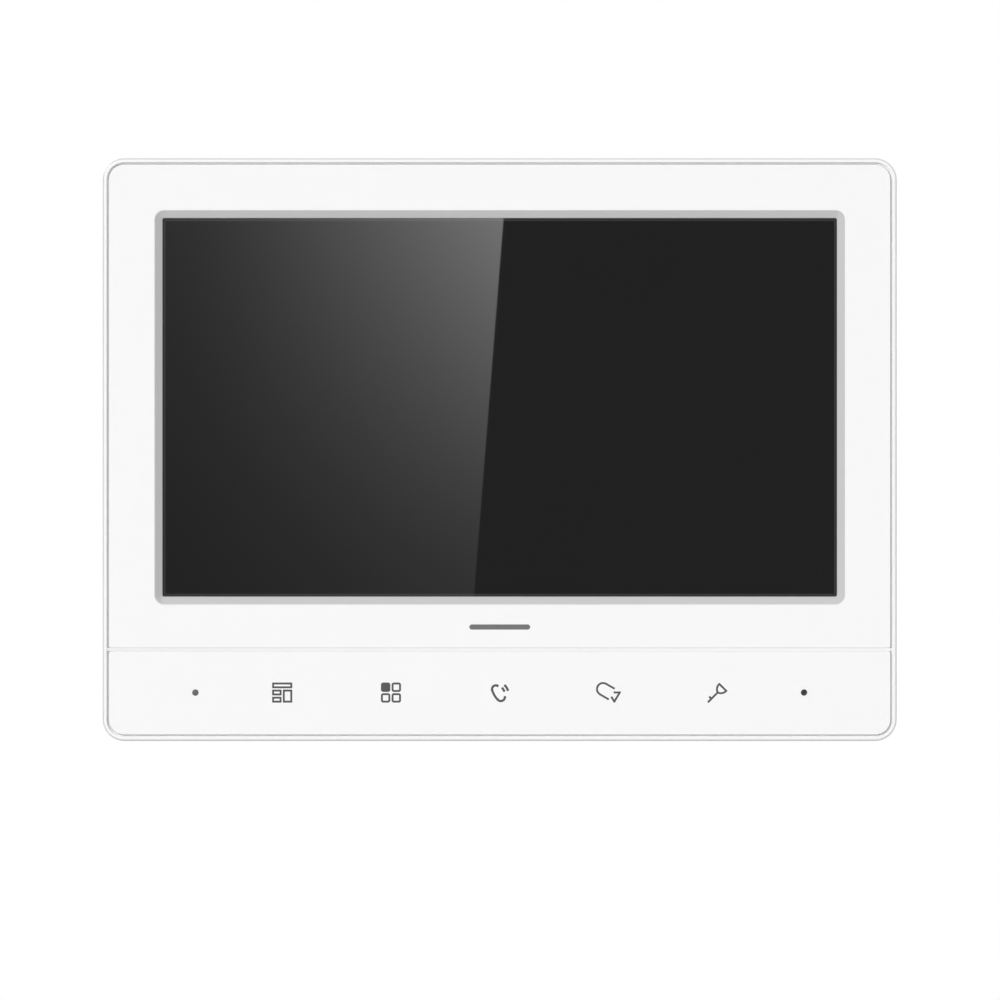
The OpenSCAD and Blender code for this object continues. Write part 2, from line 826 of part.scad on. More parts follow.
module lcd_tray() {
    lug_w = lcd_boss_d + 0.2;
    color("silver") in_place() difference() {
        union() {
            screen_slab(lcd_w, lcd_h, 1, tray_z, lcd_z);
            for (p = lcd_screw_places) {
                rod(p[0], p[1], lug_w, tray_z, lcd_z);
                block(p[0] - sign(p[0]) * lug_w / 2, p[1], lug_w, lug_w, tray_z, lcd_z);
            }
        }
        for (p = lcd_screw_places)
            rod(p[0], p[1], small_shank + 2 * screw_gap, tray_z - cut, lcd_z + cut);
    }
}

module lcd_screws() {
    color("silver") in_place() for (p = lcd_screw_places)
        screw(p[0], p[1], small_head, small_head_t, small_shank, tray_z - small_head_t, web_z - 1);
}

module lcd_ribbon() {
    bend = (ribbon_top_z - ribbon_z) / 2;
    centre_z = ribbon_z + bend;
    plug_y = ribbon_bend_y + ribbon_plug_side;
    color("orange") in_place() {
        ribbon([[lcd_bottom - ribbon_t / 2, ribbon_top_z], [ribbon_bend_y, ribbon_top_z]],
            lcd_ribbon_w, lcd_ribbon_x);
        ribbon([[plug_y - ribbon_t / 2, ribbon_z], [ribbon_bend_y, ribbon_z]],
            lcd_ribbon_w, lcd_ribbon_x);
        translate([lcd_ribbon_x - lcd_ribbon_w / 2, 0, 0]) rotate([90, 0, 90])
            linear_extrude(lcd_ribbon_w) for (half = [[90, 180], [180, 270]])
                arc2d([ribbon_bend_y, centre_z], bend, half[0], half[1], ribbon_t);
    }
}

// Main board ----------------------------------------------------------------------------------

board_top = board_z + board_t;

module pin_holes(pins, x, y) {
    for (i = [1 : pins])
        rod(x + (i - (pins + 1) / 2) * pin_pitch, y, pin_w * 1.6, board_z - cut, board_top + cut);
}

module main_board() {
    color("darkgreen") in_place() difference() {
        translate([board_x, board_y, 0]) slab(board_w, board_h, 1.5, board_z, board_top);
        for (p = board_posts)
            rod(p[0], p[1], small_shank + 2 * fit_gap, board_z - cut, board_top + cut);
        for (p = sockets)
            pin_holes(p[2], p[0] * socket_dx / 2, p[1] * socket_dy / 2);
    }
}

module board_chips() {
    chip_t = 1.2;
    color("black") in_place() {
        block(board_x - 8, board_y + 22, 15, 15, board_top, board_top + chip_t);
        for (x = [8, 22])
            block(board_x + x, board_y + 24, 9, 12, board_top, board_top + chip_t);
        block(board_x + 40, board_y - 2, 5, 6, board_top, board_top + chip_t);
        block(board_x - 44, board_y - 2, 5, 4, board_top, board_top + chip_t);
    }
}

module shield_can() {
    can_w = 18;
    can_h = 14;
    can_t = 1.5;
    skin = 0.2;
    color("silver") in_place() translate([board_x - 34, board_y + 24, 0]) difference() {
        slab(can_w, can_h, 0.8, board_top, board_top + can_t);
        slab(can_w - 2 * skin, can_h - 2 * skin, 0.6, board_top - cut, board_top + can_t - skin);
    }
}

// Space behind the board beside the wall plate's recess
side_x = (recess_w / 2 + recess_wall + board_x + board_w / 2) / 2;

module board_capacitors() {
    can_d = 6.3;
    can_h = 5.4;
    base_t = 0.6;
    color("lightgray") in_place() for (y = [-18, -9, 0]) {
        rod(side_x, board_y + y, can_d, board_z - can_h, board_z - base_t);
        block(side_x, board_y + y, can_d + 0.3, can_d + 0.3, board_z - base_t, board_z);
    }
}

module power_coil() {
    coil_w = 8;
    coil_t = 4;
    color("darkslategray") in_place() {
        translate([side_x, board_y + 14, 0]) slab(coil_w, coil_w, 1.5, board_z - coil_t, board_z);
    }
}

// Socket that takes a flat ribbon: a box with a slit on one side
module ribbon_socket(x, y, w, z0, z1, slit_z, slit_side) {
    difference() {
        block(x, y, w + 2 * ribbon_plug_side, ribbon_plug_d, z0, z1);
        block(x, y + slit_side * ribbon_plug_d / 2, w + 0.2, ribbon_plug_d, slit_z - 0.15, slit_z + 0.15);
    }
}

lcd_socket_y = ribbon_bend_y + ribbon_plug_side + ribbon_plug_d / 2 - 0.6;
key_socket_y = board_y - board_h / 2 + ribbon_plug_d / 2 + 0.3;
key_board_z = web_z - spacer_h - board_t;
key_plug_z = key_board_z - ribbon_plug_t;
key_plug_y = row_y + key_board_h / 2 - ribbon_plug_d / 2 - 0.5;
key_ribbon_z = key_board_z - ribbon_in;

module ribbon_sockets() {
    color("ivory") in_place() {
        ribbon_socket(lcd_ribbon_x, lcd_socket_y, lcd_ribbon_w, board_top, board_top + ribbon_plug_t,
            ribbon_z, -1);
        ribbon_socket(key_ribbon_x, key_socket_y, key_ribbon_w, board_top, board_top + ribbon_plug_t,
            ribbon_z, -1);
        ribbon_socket(key_ribbon_x, key_plug_y, key_ribbon_w, key_plug_z, key_board_z, key_ribbon_z, 1);
    }
}

module key_ribbon() {
    enter = 1.2;
    start_y = key_plug_y + ribbon_plug_d / 2;
    end_y = key_socket_y - ribbon_plug_d / 2;
    ease = 1.5;
    color("orange") in_place() ribbon([
        [start_y - enter, key_ribbon_z],
        [start_y + ease, key_ribbon_z],
        [end_y - ease, ribbon_z],
        [end_y + enter, ribbon_z]
    ], key_ribbon_w, key_ribbon_x);
}

module board_screws() {
    color("silver") in_place() for (p = board_posts)
        screw(p[0], p[1], small_head, small_head_t, small_shank, board_top + small_head_t, board_screw_end);
}

// Cable sockets -------------------------------------------------------------------------------

module cable_socket(column, row, pins) {
    w = socket_w(pins);
    key_w = 1.2;
    key_x = w / 2 - 2.2;
    floor_in = board_z - socket_floor;
    translate([column * socket_dx / 2, row * socket_dy / 2, 0]) difference() {
        block(0, 0, w, socket_d, socket_z, board_z);
        block(0, 0, w - 2 * socket_wall, socket_d - 2 * socket_wall, socket_z - cut, floor_in);
        for (side = [-1, 1])
            block(side * key_x, -socket_d / 2, key_w, 2 * socket_wall + 0.2, socket_z - cut, floor_in - 1);
        for (i = [1 : pins])
            block((i - (pins + 1) / 2) * pin_pitch, 0, pin_w + 0.04, pin_w + 0.04,
                floor_in - cut, board_z + cut);
    }
}

module power_socket() { color("firebrick") in_place() cable_socket(1, -1, 2); }
module indoor_socket() { color("ivory") in_place() cable_socket(-1, -1, 4); }
module door_socket_1() { color("ivory") in_place() cable_socket(-1, 1, 4); }
module door_socket_2() { color("ivory") in_place() cable_socket(1, 1, 4); }

module socket_pins() {
    color("gold") in_place() for (p = sockets)
        translate([p[0] * socket_dx / 2, p[1] * socket_dy / 2, 0]) for (i = [1 : p[2]])
            block((i - (p[2] + 1) / 2) * pin_pitch, 0, pin_w, pin_w, socket_z + 0.8, board_top + 0.6);
}

// Key board -----------------------------------------------------------------------------------

key_board_top = key_board_z + board_t;
led_t = 1;
mic_t = 1.1;
pipe_flange_t = 0.8;
mesh_d = 4;
mesh_t = 0.2;

module key_board() {
    end_margin = 6;
    color("darkgreen") in_place() difference() {
        translate([0, row_y, 0])
            slab(2 * (dot_x + end_margin), key_board_h, 1, key_board_z, key_board_top);
        for (x = key_screw_x)
            rod(x, row_y, small_shank + 2 * fit_gap, key_board_z - cut, key_board_top + cut);
    }
}

module key_board_screws() {
    color("silver") in_place() for (x = key_screw_x)
        screw(x, row_y, small_head, small_head_t, small_shank, key_board_z - small_head_t, panel_z - 0.6);
}

module touch_pads() {
    color("darkslategray") in_place() for (i = [-2 : 2])
        rod(i * key_pitch, row_y, pad_d, key_board_top, panel_z);
}

module power_led() {
    color("lightyellow") in_place() block(-dot_x, row_y, 3.2, 1.6, key_board_top, key_board_top + led_t);
}

module power_light_pipe() {
    color("lightgray") in_place() {
        rod(-dot_x, row_y, dot_d - 0.04, web_z - pipe_flange_t, body_d);
        rod(-dot_x, row_y, 2 * dot_d, web_z - pipe_flange_t, web_z);
    }
}

module microphone() {
    color("silver") in_place() difference() {
        block(dot_x, row_y, 3.8, 3, key_board_top, key_board_top + mic_t);
        rod(dot_x, row_y, 0.8, key_board_top + mic_t / 2, key_board_top + mic_t + cut);
    }
}

module microphone_gasket() {
    color("black") in_place() difference() {
        rod(dot_x, row_y, mesh_d + 1, key_board_top + mic_t, web_z);
        rod(dot_x, row_y, dot_d, key_board_top, web_z + cut);
    }
}

module microphone_mesh() {
    color("gray") in_place() rod(dot_x, row_y, mesh_d, panel_z - mesh_t, panel_z);
}

// Loudspeaker ---------------------------------------------------------------------------------

module at_speaker() {
    translate([speaker_x, speaker_y, 0]) children();
}

module speaker_cloth() {
    color("black") in_place() at_speaker() rod(0, 0, speaker_d, floor_z, floor_z + cloth_t);
}

module speaker_gasket() {
    seal_z = floor_z + cloth_t;
    color("dimgray") in_place() at_speaker() difference() {
        rod(0, 0, speaker_d, seal_z, speaker_z);
        rod(0, 0, speaker_d - 2 * speaker_rim, seal_z - cut, speaker_z + cut);
    }
}

module speaker_frame() {
    wall_d = speaker_d - 2 * (speaker_rim - speaker_wall);
    in_d = speaker_d - 2 * speaker_rim;
    color("dimgray") in_place() at_speaker() difference() {
        union() {
            rod(0, 0, speaker_d, speaker_z, speaker_z + speaker_flange_t);
            rod(0, 0, wall_d, speaker_z, speaker_back_z);
            translate([tab_x, tab_y, speaker_back_z - tab_t]) cube([tab_l, tab_w, tab_t]);
        }
        rod(0, 0, in_d, speaker_z - cut, speaker_back_z - speaker_back_t);
        rod(0, 0, magnet_d + 0.1, speaker_z, speaker_back_z + cut);
    }
}

module speaker_magnet() {
    color("silver") in_place() at_speaker() difference() {
        rod(0, 0, magnet_d, magnet_z, magnet_z + magnet_t);
        difference() {
            rod(0, 0, coil_d + 2 * magnet_gap, magnet_z - cut, magnet_z + magnet_t - magnet_floor);
            rod(0, 0, coil_d - 2 * magnet_gap - 0.6, magnet_z - cut, magnet_z + magnet_t);
        }
    }
}

module speaker_cone() {
    sheet = 0.4;
    edge_r = speaker_d / 2 - speaker_rim - 0.4;
    edge_z = speaker_z + 1;
    coil_r = coil_d / 2;
    coil_z = speaker_z + 1.4;
    dome_z = speaker_z + 0.8;
    coil_end = magnet_z + 1.6;
    color("black") in_place() at_speaker() rotate_extrude() polygon([
        [0, dome_z],
        [coil_r / 2, dome_z + 0.15],
        [coil_r - 0.3, coil_z],
        [edge_r, edge_z],
        [edge_r, edge_z + sheet],
        [coil_r, coil_z + sheet],
        [coil_r, coil_end],
        [coil_r - 0.3, coil_end],
        [coil_r - 0.3, coil_z + sheet],
        [coil_r / 2, dome_z + 0.15 + sheet],
        [0, dome_z + sheet]
    ]);
}

module speaker_retainer() {
    ear_w = 5;
    color("dimgray") in_place() at_speaker() difference() {
        union() {
            rod(0, 0, retainer_d, speaker_back_z, speaker_back_z + retainer_t);
            block(0, 0, ear_w, 2 * ear_dy, speaker_back_z, speaker_back_z + retainer_t);
            for (side = [-1, 1])
                rod(0, side * ear_dy, ear_w, speaker_back_z, speaker_back_z + retainer_t);
        }
        rod(0, 0, magnet_d + 2 * fit_gap, speaker_back_z - cut, speaker_back_z + retainer_t + cut);
        for (side = [-1, 1])
            rod(0, side * ear_dy, small_shank + 2 * screw_gap, speaker_back_z - cut,
                speaker_back_z + retainer_t + cut);
    }
}

module speaker_screws() {
    color("silver") in_place() at_speaker() for (side = [-1, 1])
        screw(0, side * ear_dy, small_head, small_head_t, small_shank,
            speaker_back_z + retainer_t + small_head_t, wall_gap + 2.4);
}

module speaker_plug() {
    color("ivory") in_place()
        block(lead_plug_x + lead_plug[0] / 2 - 0.4, lead_plug_y, lead_plug[0], lead_plug[1],
            board_z - lead_plug[2], board_z);
}

// Lead from the loudspeaker's tab to its plug, as a tube of eight sides
lead_start = [speaker_x + tab_x + tab_l - 1.2, speaker_y + tab_y + tab_w / 2, speaker_back_z];
lead_end = [lead_plug_x - 0.4, lead_plug_y, board_z - lead_plug[2] / 2];
lead_top = lead_start[2] + 1.2;
lead_points = [
    lead_start,
    lead_start + [0, 0, 0.8],
    [lead_start[0], lead_start[1] + 1.2, lead_top],
    [lead_start[0] * 0.9 + lead_end[0] * 0.1, lead_start[1] * 0.6 + lead_end[1] * 0.4, lead_top],
    [
        lead_start[0] * 0.6 + lead_end[0] * 0.4,
        lead_start[1] * 0.2 + lead_end[1] * 0.8,
        lead_top * 0.7 + lead_end[2] * 0.3
    ],
    [lead_end[0] - 1.2, lead_end[1], lead_end[2]],
    lead_end
];

function unit(v) = v / norm(v);
function along(points, i) =
    i == 0 ? unit(points[1] - points[0]) :
    i == len(points) - 1 ? unit(points[i] - points[i - 1]) :
    unit(unit(points[i] - points[i - 1]) + unit(points[i + 1] - points[i]));
function side_of(t) = unit(cross(t, [1, 0.15, 0.1]));
function end_side_of(t) = unit(cross(t, [0, 0.3, 1]));
function lead_ring(points, i, r) =
    let (
        t = along(points, i),
        u = i >= len(points) - 2 ? end_side_of(t) : side_of(t),
        v = cross(t, u),
        turn = 360 / lead_sides
    )
    [for (k = [0 : lead_sides - 1]) points[i] + r * (cos(k * turn) * u + sin(k * turn) * v)];

module speaker_lead() {
    n = len(lead_points);
    color("crimson") in_place() polyhedron(
        points = [for (i = [0 : n - 1]) each lead_ring(lead_points, i, lead_d / 2)],
        faces = concat(
            [[for (k = [0 : lead_sides - 1]) lead_sides - 1 - k]],
            [[for (k = [0 : lead_sides - 1]) (n - 1) * lead_sides + k]],
            [for (i = [0 : n - 2], k = [0 : lead_sides - 1])
                let (a = i * lead_sides, b = a + lead_sides, m = (k + 1) % lead_sides)
                [a + k, a + m, b + m, b + k]]
        )
    );
}

wall_plate();
rear_housing();
front_frame();
screen_panel();
key_panel();
screen_surround();
screen_window();
window_border();
lcd_gasket();
lcd_frame();
lcd_glass();
lcd_backlight();
backlight_leds();
lcd_tray();
lcd_screws();
lcd_ribbon();
main_board();
board_chips();
shield_can();
board_capacitors();
power_coil();
ribbon_sockets();
board_screws();
power_socket();
indoor_socket();
door_socket_1();
door_socket_2();
socket_pins();
key_board();
key_board_screws();
touch_pads();
key_ribbon();
power_led();
power_light_pipe();
microphone();
microphone_gasket();
microphone_mesh();
speaker_cloth();
speaker_gasket();
speaker_frame();
speaker_magnet();
speaker_cone();
speaker_retainer();
speaker_screws();
speaker_lead();
speaker_plug();
housing_screws();
rating_label();
symbol_message();
symbol_menu();
symbol_call();
symbol_camera();
symbol_unlock();
front_mark();
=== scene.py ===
"""Looks of a wall-mounted video intercom monitor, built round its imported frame.

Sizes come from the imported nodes' boxes, and the smaller ones that a box can't give are named
fields of the class that uses them. Lengths are in metres. The monitor looks along -Y, its width
runs along X and its height along Z. "Out" is the distance from the wall plane, towards the viewer.
"""

from __future__ import annotations

import json
import logging
import math
from dataclasses import dataclass, replace
from enum import Enum
from typing import Any, ClassVar, Iterable, Sequence

import bmesh
import bpy
from mathutils import Matrix, Vector

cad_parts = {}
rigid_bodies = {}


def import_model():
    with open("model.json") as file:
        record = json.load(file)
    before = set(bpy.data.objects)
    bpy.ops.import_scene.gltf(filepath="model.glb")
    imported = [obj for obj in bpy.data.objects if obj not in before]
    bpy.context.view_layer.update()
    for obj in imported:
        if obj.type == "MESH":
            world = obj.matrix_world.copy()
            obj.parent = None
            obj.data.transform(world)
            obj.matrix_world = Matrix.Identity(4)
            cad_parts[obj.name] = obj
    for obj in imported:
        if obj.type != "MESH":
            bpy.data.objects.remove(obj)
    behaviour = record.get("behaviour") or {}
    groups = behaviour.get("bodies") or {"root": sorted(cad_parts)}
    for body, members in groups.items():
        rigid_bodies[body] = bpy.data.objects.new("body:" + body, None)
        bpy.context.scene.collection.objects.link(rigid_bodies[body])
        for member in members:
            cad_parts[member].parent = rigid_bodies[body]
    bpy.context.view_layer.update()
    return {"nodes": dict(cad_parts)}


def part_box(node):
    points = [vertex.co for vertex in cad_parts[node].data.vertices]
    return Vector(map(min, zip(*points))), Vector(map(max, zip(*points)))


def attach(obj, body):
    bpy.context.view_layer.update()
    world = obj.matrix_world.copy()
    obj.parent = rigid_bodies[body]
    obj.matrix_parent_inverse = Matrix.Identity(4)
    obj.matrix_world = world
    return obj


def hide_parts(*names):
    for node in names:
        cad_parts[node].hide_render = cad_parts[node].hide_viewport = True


LOG = logging.getLogger("monitor")
MM = 0.001
WELD = 0.5e-6
SHARP_ANGLE = 34.0
RING_STEPS = 14

Colour = tuple[float, float, float]
Profile = list[tuple[float, float]]


# Shader building ---------------------------------------------------------------------------


class Number:
    """A shader number whose arithmetic adds Math nodes to its graph."""

    def __init__(self, graph: "Graph", socket: bpy.types.NodeSocket) -> None:
        """Keep the graph and the socket that carries the number."""
        self.graph = graph
        self.socket = socket

    def calc(self, operation: str, first: Any, second: Any = 0.0) -> "Number":
        """Add one Math node.

        Args:
            operation: The node's operation.
            first: A number or a plain float.
            second: A number or a plain float.

        Returns:
            The node's result.
        """
        node = self.graph.node("ShaderNodeMath", {"operation": operation}, {0: first, 1: second})
        return Number(self.graph, node.outputs[0])

    def __add__(self, other: Any) -> "Number":
        """Add."""
        return self.calc("ADD", self, other)

    __radd__ = __add__

    def __sub__(self, other: Any) -> "Number":
        """Subtract."""
        return self.calc("SUBTRACT", self, other)

    def __rsub__(self, other: Any) -> "Number":
        """Subtract from a plain float."""
        return self.calc("SUBTRACT", other, self)

    def __mul__(self, other: Any) -> "Number":
        """Multiply."""
        return self.calc("MULTIPLY", self, other)

    __rmul__ = __mul__

    def __abs__(self) -> "Number":
        """Drop the sign."""
        return self.calc("ABSOLUTE", self)

    def over(self, limit: float) -> "Number":
        """One where the number is above a limit, and zero elsewhere."""
        return self.calc("GREATER_THAN", self, limit)

    def most(self, other: Any) -> "Number":
        """The larger of two numbers."""
        return self.calc("MAXIMUM", self, other)

    def least(self, other: Any) -> "Number":
        """The smaller of two numbers."""
        return self.calc("MINIMUM", self, other)

    def power(self, exponent: float) -> "Number":
        """Raise to a power."""
        return self.calc("POWER", self, exponent)


class Graph:
    """Makes and links the nodes of one tree."""

    def __init__(self, tree: bpy.types.NodeTree) -> None:
        """Keep the tree that the nodes go into."""
        self.tree = tree

    def node(
        self,
        kind: str,
        settings: dict[str, Any] | None = None,
        sockets: dict[int | str, Any] | None = None,
    ) -> bpy.types.Node:
        """Add a node.

        Args:
            kind: The node's type.
            settings: Properties, which are set first; "stops" fills a colour ramp.
            sockets: Values or links of the inputs, by name or number.

        Returns:
            The new node.
        """
        node = self.tree.nodes.new(kind)
        for key, value in (settings or {}).items():
            if key == "stops":
                self._fill_ramp(node, value)
            else:
                setattr(node, key, value)
        for key, value in (sockets or {}).items():
            target = node.inputs[key]
            if isinstance(value, Number):
                value = value.socket
            if isinstance(value, bpy.types.NodeSocket):
                self.tree.links.new(value, target)
            else:
                target.default_value = value
        return node

    @staticmethod
    def _fill_ramp(node: bpy.types.Node, stops: Sequence[tuple[float, Colour]]) -> None:
        """Give a colour ramp its stops.

        Args:
            node: The ramp.
            stops: Each stop's place and colour.
        """
        elements = node.color_ramp.elements
        while len(elements) < len(stops):
            elements.new(0.5)
        for element, (place, colour) in zip(elements, stops):
            element.position = place
            element.color = (*colour, 1.0)

    def place(self, stretch: Sequence[float] = (1.0, 1.0, 1.0)) -> bpy.types.NodeSocket:
        """Object coordinates, stretched along each axis."""
        where = self.node("ShaderNodeTexCoord").outputs["Object"]
        return self.node("ShaderNodeMapping", None, {"Vector": where, "Scale": stretch}).outputs[0]

    def axes(self) -> tuple[Number, Number, Number]:
        """The three object coordinates as numbers."""
        split = self.node("ShaderNodeSeparateXYZ", None, {0: self.place()})
        return tuple(Number(self, split.outputs[i]) for i in range(3))

    def noise(
        self, size: float, stretch: Sequence[float] = (1.0, 1.0, 1.0), detail: float = 2.0
    ) -> Number:
        """Soft noise from 0 to 1.

        Args:
            size: Length of one feature.
            stretch: How much finer the noise is along each axis.
            detail: Number of finer layers.

        Returns:
            The noise value.
        """
        settings = {"Vector": self.place(stretch), "Scale": 1.0 / size, "Detail": detail}
        return Number(self, self.node("ShaderNodeTexNoise", None, settings).outputs[0])

    def cells(self, size: float) -> tuple[Number, bpy.types.NodeSocket]:
        """Distance from a cell's centre and the cell's own colour, for cells of a size."""
        node = self.node("ShaderNodeTexVoronoi", None, {"Vector": self.place(), "Scale": 1.0 / size})
        return Number(self, node.outputs["Distance"]), node.outputs["Color"]

    def blend(self, share: Any, low: Any, high: Any) -> bpy.types.NodeSocket:
        """Mix two colours."""
        inputs = {0: share, 6: _rgba(low), 7: _rgba(high)}
        return self.node("ShaderNodeMix", {"data_type": "RGBA"}, inputs).outputs[2]

    def bump(self, height: Number, depth: float, strength: float = 1.0) -> bpy.types.NodeSocket:
        """A normal that follows a height field."""
        inputs = {"Height": height, "Distance": depth, "Strength": strength}
        return self.node("ShaderNodeBump", None, inputs).outputs[0]


def _rgba(colour: Any) -> Any:
    """A colour with its alpha, or a socket as it is."""
    return (*colour, 1.0) if isinstance(colour, tuple) else colour


# Finishes ----------------------------------------------------------------------------------


MADE_FINISHES: dict["Finish", bpy.types.Material] = {}


@dataclass(frozen=True)
class Finish:
    """A surface finish with a colour and a roughness that vary a little over the surface."""

    name: str
    colour: Colour
    roughness: float = 0.5
    metallic: float = 0.0
    variation: float = 0.02

    def material(self) -> bpy.types.Material:
        """Make the finish's material once.

        Returns:
            The material.
        """
        if self in MADE_FINISHES:
            return MADE_FINISHES[self]
        made = bpy.data.materials.new("finish_" + self.name)
        MADE_FINISHES[self] = made
        made.use_nodes = True
        graph = Graph(made.node_tree)
        shader = made.node_tree.nodes["Principled BSDF"]
        shader.inputs["Metallic"].default_value = self.metallic
        self.dress(graph, shader)
        return made

    def shade(self, factor: float) -> Colour:
        """The finish's colour, lighter or darker by a factor."""
        return tuple(min(1.0, c * factor) for c in self.colour)

    def link(self, graph: Graph, shader: bpy.types.Node, **sockets: Any) -> None:
        """Link results to the shader's sockets.

        Args:
            graph: The material's graph.
            shader: The material's shader.
            **sockets: Results by socket name, with underscores for its spaces.
        """
        for key, value in sockets.items():
            target = shader.inputs[key.replace("_", " ")]
            graph.tree.links.new(value.socket if isinstance(value, Number) else value, target)

    def dress(self, graph: Graph, shader: bpy.types.Node) -> None:
        """Vary colour and roughness with soft noise.

        Args:
            graph: The material's graph.
            shader: The material's shader.
        """
        cloud = graph.noise(12 * MM)
        colour = graph.blend(cloud, self.shade(1 - self.variation), self.shade(1 + self.variation))
        rough = graph.noise(1.5 * MM) * 0.08 + (self.roughness - 0.04)
        self.link(graph, shader, Base_Color=colour, Roughness=rough)


@dataclass(frozen=True)
class Moulding(Finish):
    """Moulded plastic with a spark-eroded grain."""

    grain: float = 0.35 * MM
    grain_depth: float = 0.004 * MM
    variation: float = 0.004

    def dress(self, graph: Graph, shader: bpy.types.Node) -> None:
        """Add the grain to the soft variation.

        Args:
            graph: The material's graph.
            shader: The material's shader.
        """
        super().dress(graph, shader)
        pits, _ = graph.cells(self.grain)
        height = pits * 0.6 + graph.noise(self.grain * 0.5) * 0.4
        self.link(graph, shader, Normal=graph.bump(height, self.grain_depth))


@dataclass(frozen=True)
class Brushed(Finish):
    """Plated sheet with a faint crystal pattern and rolling lines."""

    metallic: float = 1.0
    variation: float = 0.06
    grain: float = 4 * MM

    def dress(self, graph: Graph, shader: bpy.types.Node) -> None:
        """Crystals tint the sheet, and long fine lines roughen it.

        Args:
            graph: The material's graph.
            shader: The material's shader.
        """
        _, crystal = graph.cells(self.grain)
        grey = graph.node("ShaderNodeRGBToBW", None, {0: crystal}).outputs[0]
        tint = graph.blend(grey, self.shade(1 - self.variation), self.shade(1 + self.variation))
        lines = graph.noise(0.25 * MM, (0.03, 1.0, 1.0), 3.0)
        rough = lines * 0.16 + (self.roughness - 0.08)
        self.link(
            graph, shader, Base_Color=tint, Roughness=rough, Normal=graph.bump(lines, 0.003 * MM)
        )


@dataclass(frozen=True)
class Woven(Finish):
    """Cloth or wire mesh of crossing threads."""

    thread: float = 0.4 * MM

    def dress(self, graph: Graph, shader: bpy.types.Node) -> None:
        """Two sets of waves cross to make the weave; the colour follows its height, darker in the
        hollows and lighter on the crests: painted shade.

        Args:
            graph: The material's graph.
            shader: The material's shader.
        """
        x, _, up = graph.axes()
        turns = math.tau / self.thread
        warp = x.calc("SINE", x * turns)
        weft = up.calc("SINE", up * turns)
        weave = (warp * weft) * 0.5 + 0.5
        # painted shade: the colour follows the weave's height, darker in its hollows and lighter on
        # its crests
        colour = graph.blend(weave, self.shade(0.45), self.shade(1.3))
        self.link(graph, shader, Base_Color=colour, Normal=graph.bump(weave, 0.08 * MM))
        shader.inputs["Roughness"].default_value = self.roughness


@dataclass(frozen=True)
class Foam(Finish):
    """Closed-cell foam or rubber."""

    cell: float = 0.5 * MM

    def dress(self, graph: Graph, shader: bpy.types.Node) -> None:
        """Cells pit the surface, and the colour is darker towards each pit's middle: painted shade
        in the hollows.

        Args:
            graph: The material's graph.
            shader: The material's shader.
        """
        pits, _ = graph.cells(self.cell)
        # painted shade: the colour follows the pits' height, darker in each hollow and lighter on
        # the rims
        colour = graph.blend(pits, self.shade(0.7), self.shade(1.25))
        self.link(graph, shader, Base_Color=colour, Normal=graph.bump(pits, 0.05 * MM))
        shader.inputs["Roughness"].default_value = self.roughness


@dataclass(frozen=True)
class Board(Finish):
    """Circuit board with a solder mask over copper tracks."""

    track: float = 1.2 * MM

    def dress(self, graph: Graph, shader: bpy.types.Node) -> None:
        """Brick-like runs stand for the tracks under the mask.

        Args:
            graph: The material's graph.
            shader: The material's shader.
        """
        settings = {"Vector": graph.place(), "Scale": 1.0 / self.track, "Mortar Size": 0.12}
        brick = graph.node("ShaderNodeTexBrick", {"offset": 0.4}, settings)
        track = Number(graph, brick.outputs["Fac"])
        colour = graph.blend(track, self.colour, self.shade(1.8))
        self.link(graph, shader, Base_Color=colour, Normal=graph.bump(track, 0.03 * MM))
        shader.inputs["Roughness"].default_value = self.roughness


@dataclass(frozen=True)
class DarkWindow(Finish):
    """Smoked window: black over the picture, a little lighter over the printed margin."""

    margin_colour: Colour = (0.03, 0.03, 0.031)
    half_w: float = 0.0
    half_h: float = 0.0
    middle: float = 0.0

    def dress(self, graph: Graph, shader: bpy.types.Node) -> None:
        """A mask of the picture's rectangle chooses between the two tones.

        Args:
            graph: The material's graph.
            shader: The material's shader.
        """
        x, _, up = graph.axes()
        beyond = (abs(x) - self.half_w).most(abs(up - self.middle) - self.half_h)
        margin = beyond.over(0.0)
        cloud = graph.noise(30 * MM)
        picture = graph.blend(cloud, self.shade(0.85), self.shade(1.15))
        colour = graph.blend(margin, picture, self.margin_colour)
        rough = graph.noise(8 * MM) * 0.004 + self.roughness
        self.link(graph, shader, Base_Color=colour, Roughness=rough)
        shader.inputs["IOR"].default_value = 1.5


@dataclass(frozen=True)
class BlankLabel(Finish):
    """Blank paper label with a printed hairline frame."""

    half_w: float = 0.0
    half_h: float = 0.0
    middle: tuple[float, float] = (0.0, 0.0)
    edge: float = 1.5 * MM
    line: float = 0.25 * MM
    ink: Colour = (0.25, 0.25, 0.25)

    def dress(self, graph: Graph, shader: bpy.types.Node) -> None:
        """A thin grey frame runs inside the label's edge.

        Args:
            graph: The material's graph.
            shader: The material's shader.
        """
        x, _, up = graph.axes()
        across = abs(x - self.middle[0]) - (self.half_w - self.edge)
        along = abs(up - self.middle[1]) - (self.half_h - self.edge)
        ring = abs(across.most(along))
        printed = 1.0 - ring.over(self.line / 2)
        fibres = graph.noise(0.3 * MM, detail=4.0)
        paper = graph.blend(fibres, self.shade(0.97), self.shade(1.02))
        colour = graph.blend(printed, paper, self.ink)
        self.link(graph, shader, Base_Color=colour, Normal=graph.bump(fibres, 0.01 * MM))
        shader.inputs["Roughness"].default_value = self.roughness


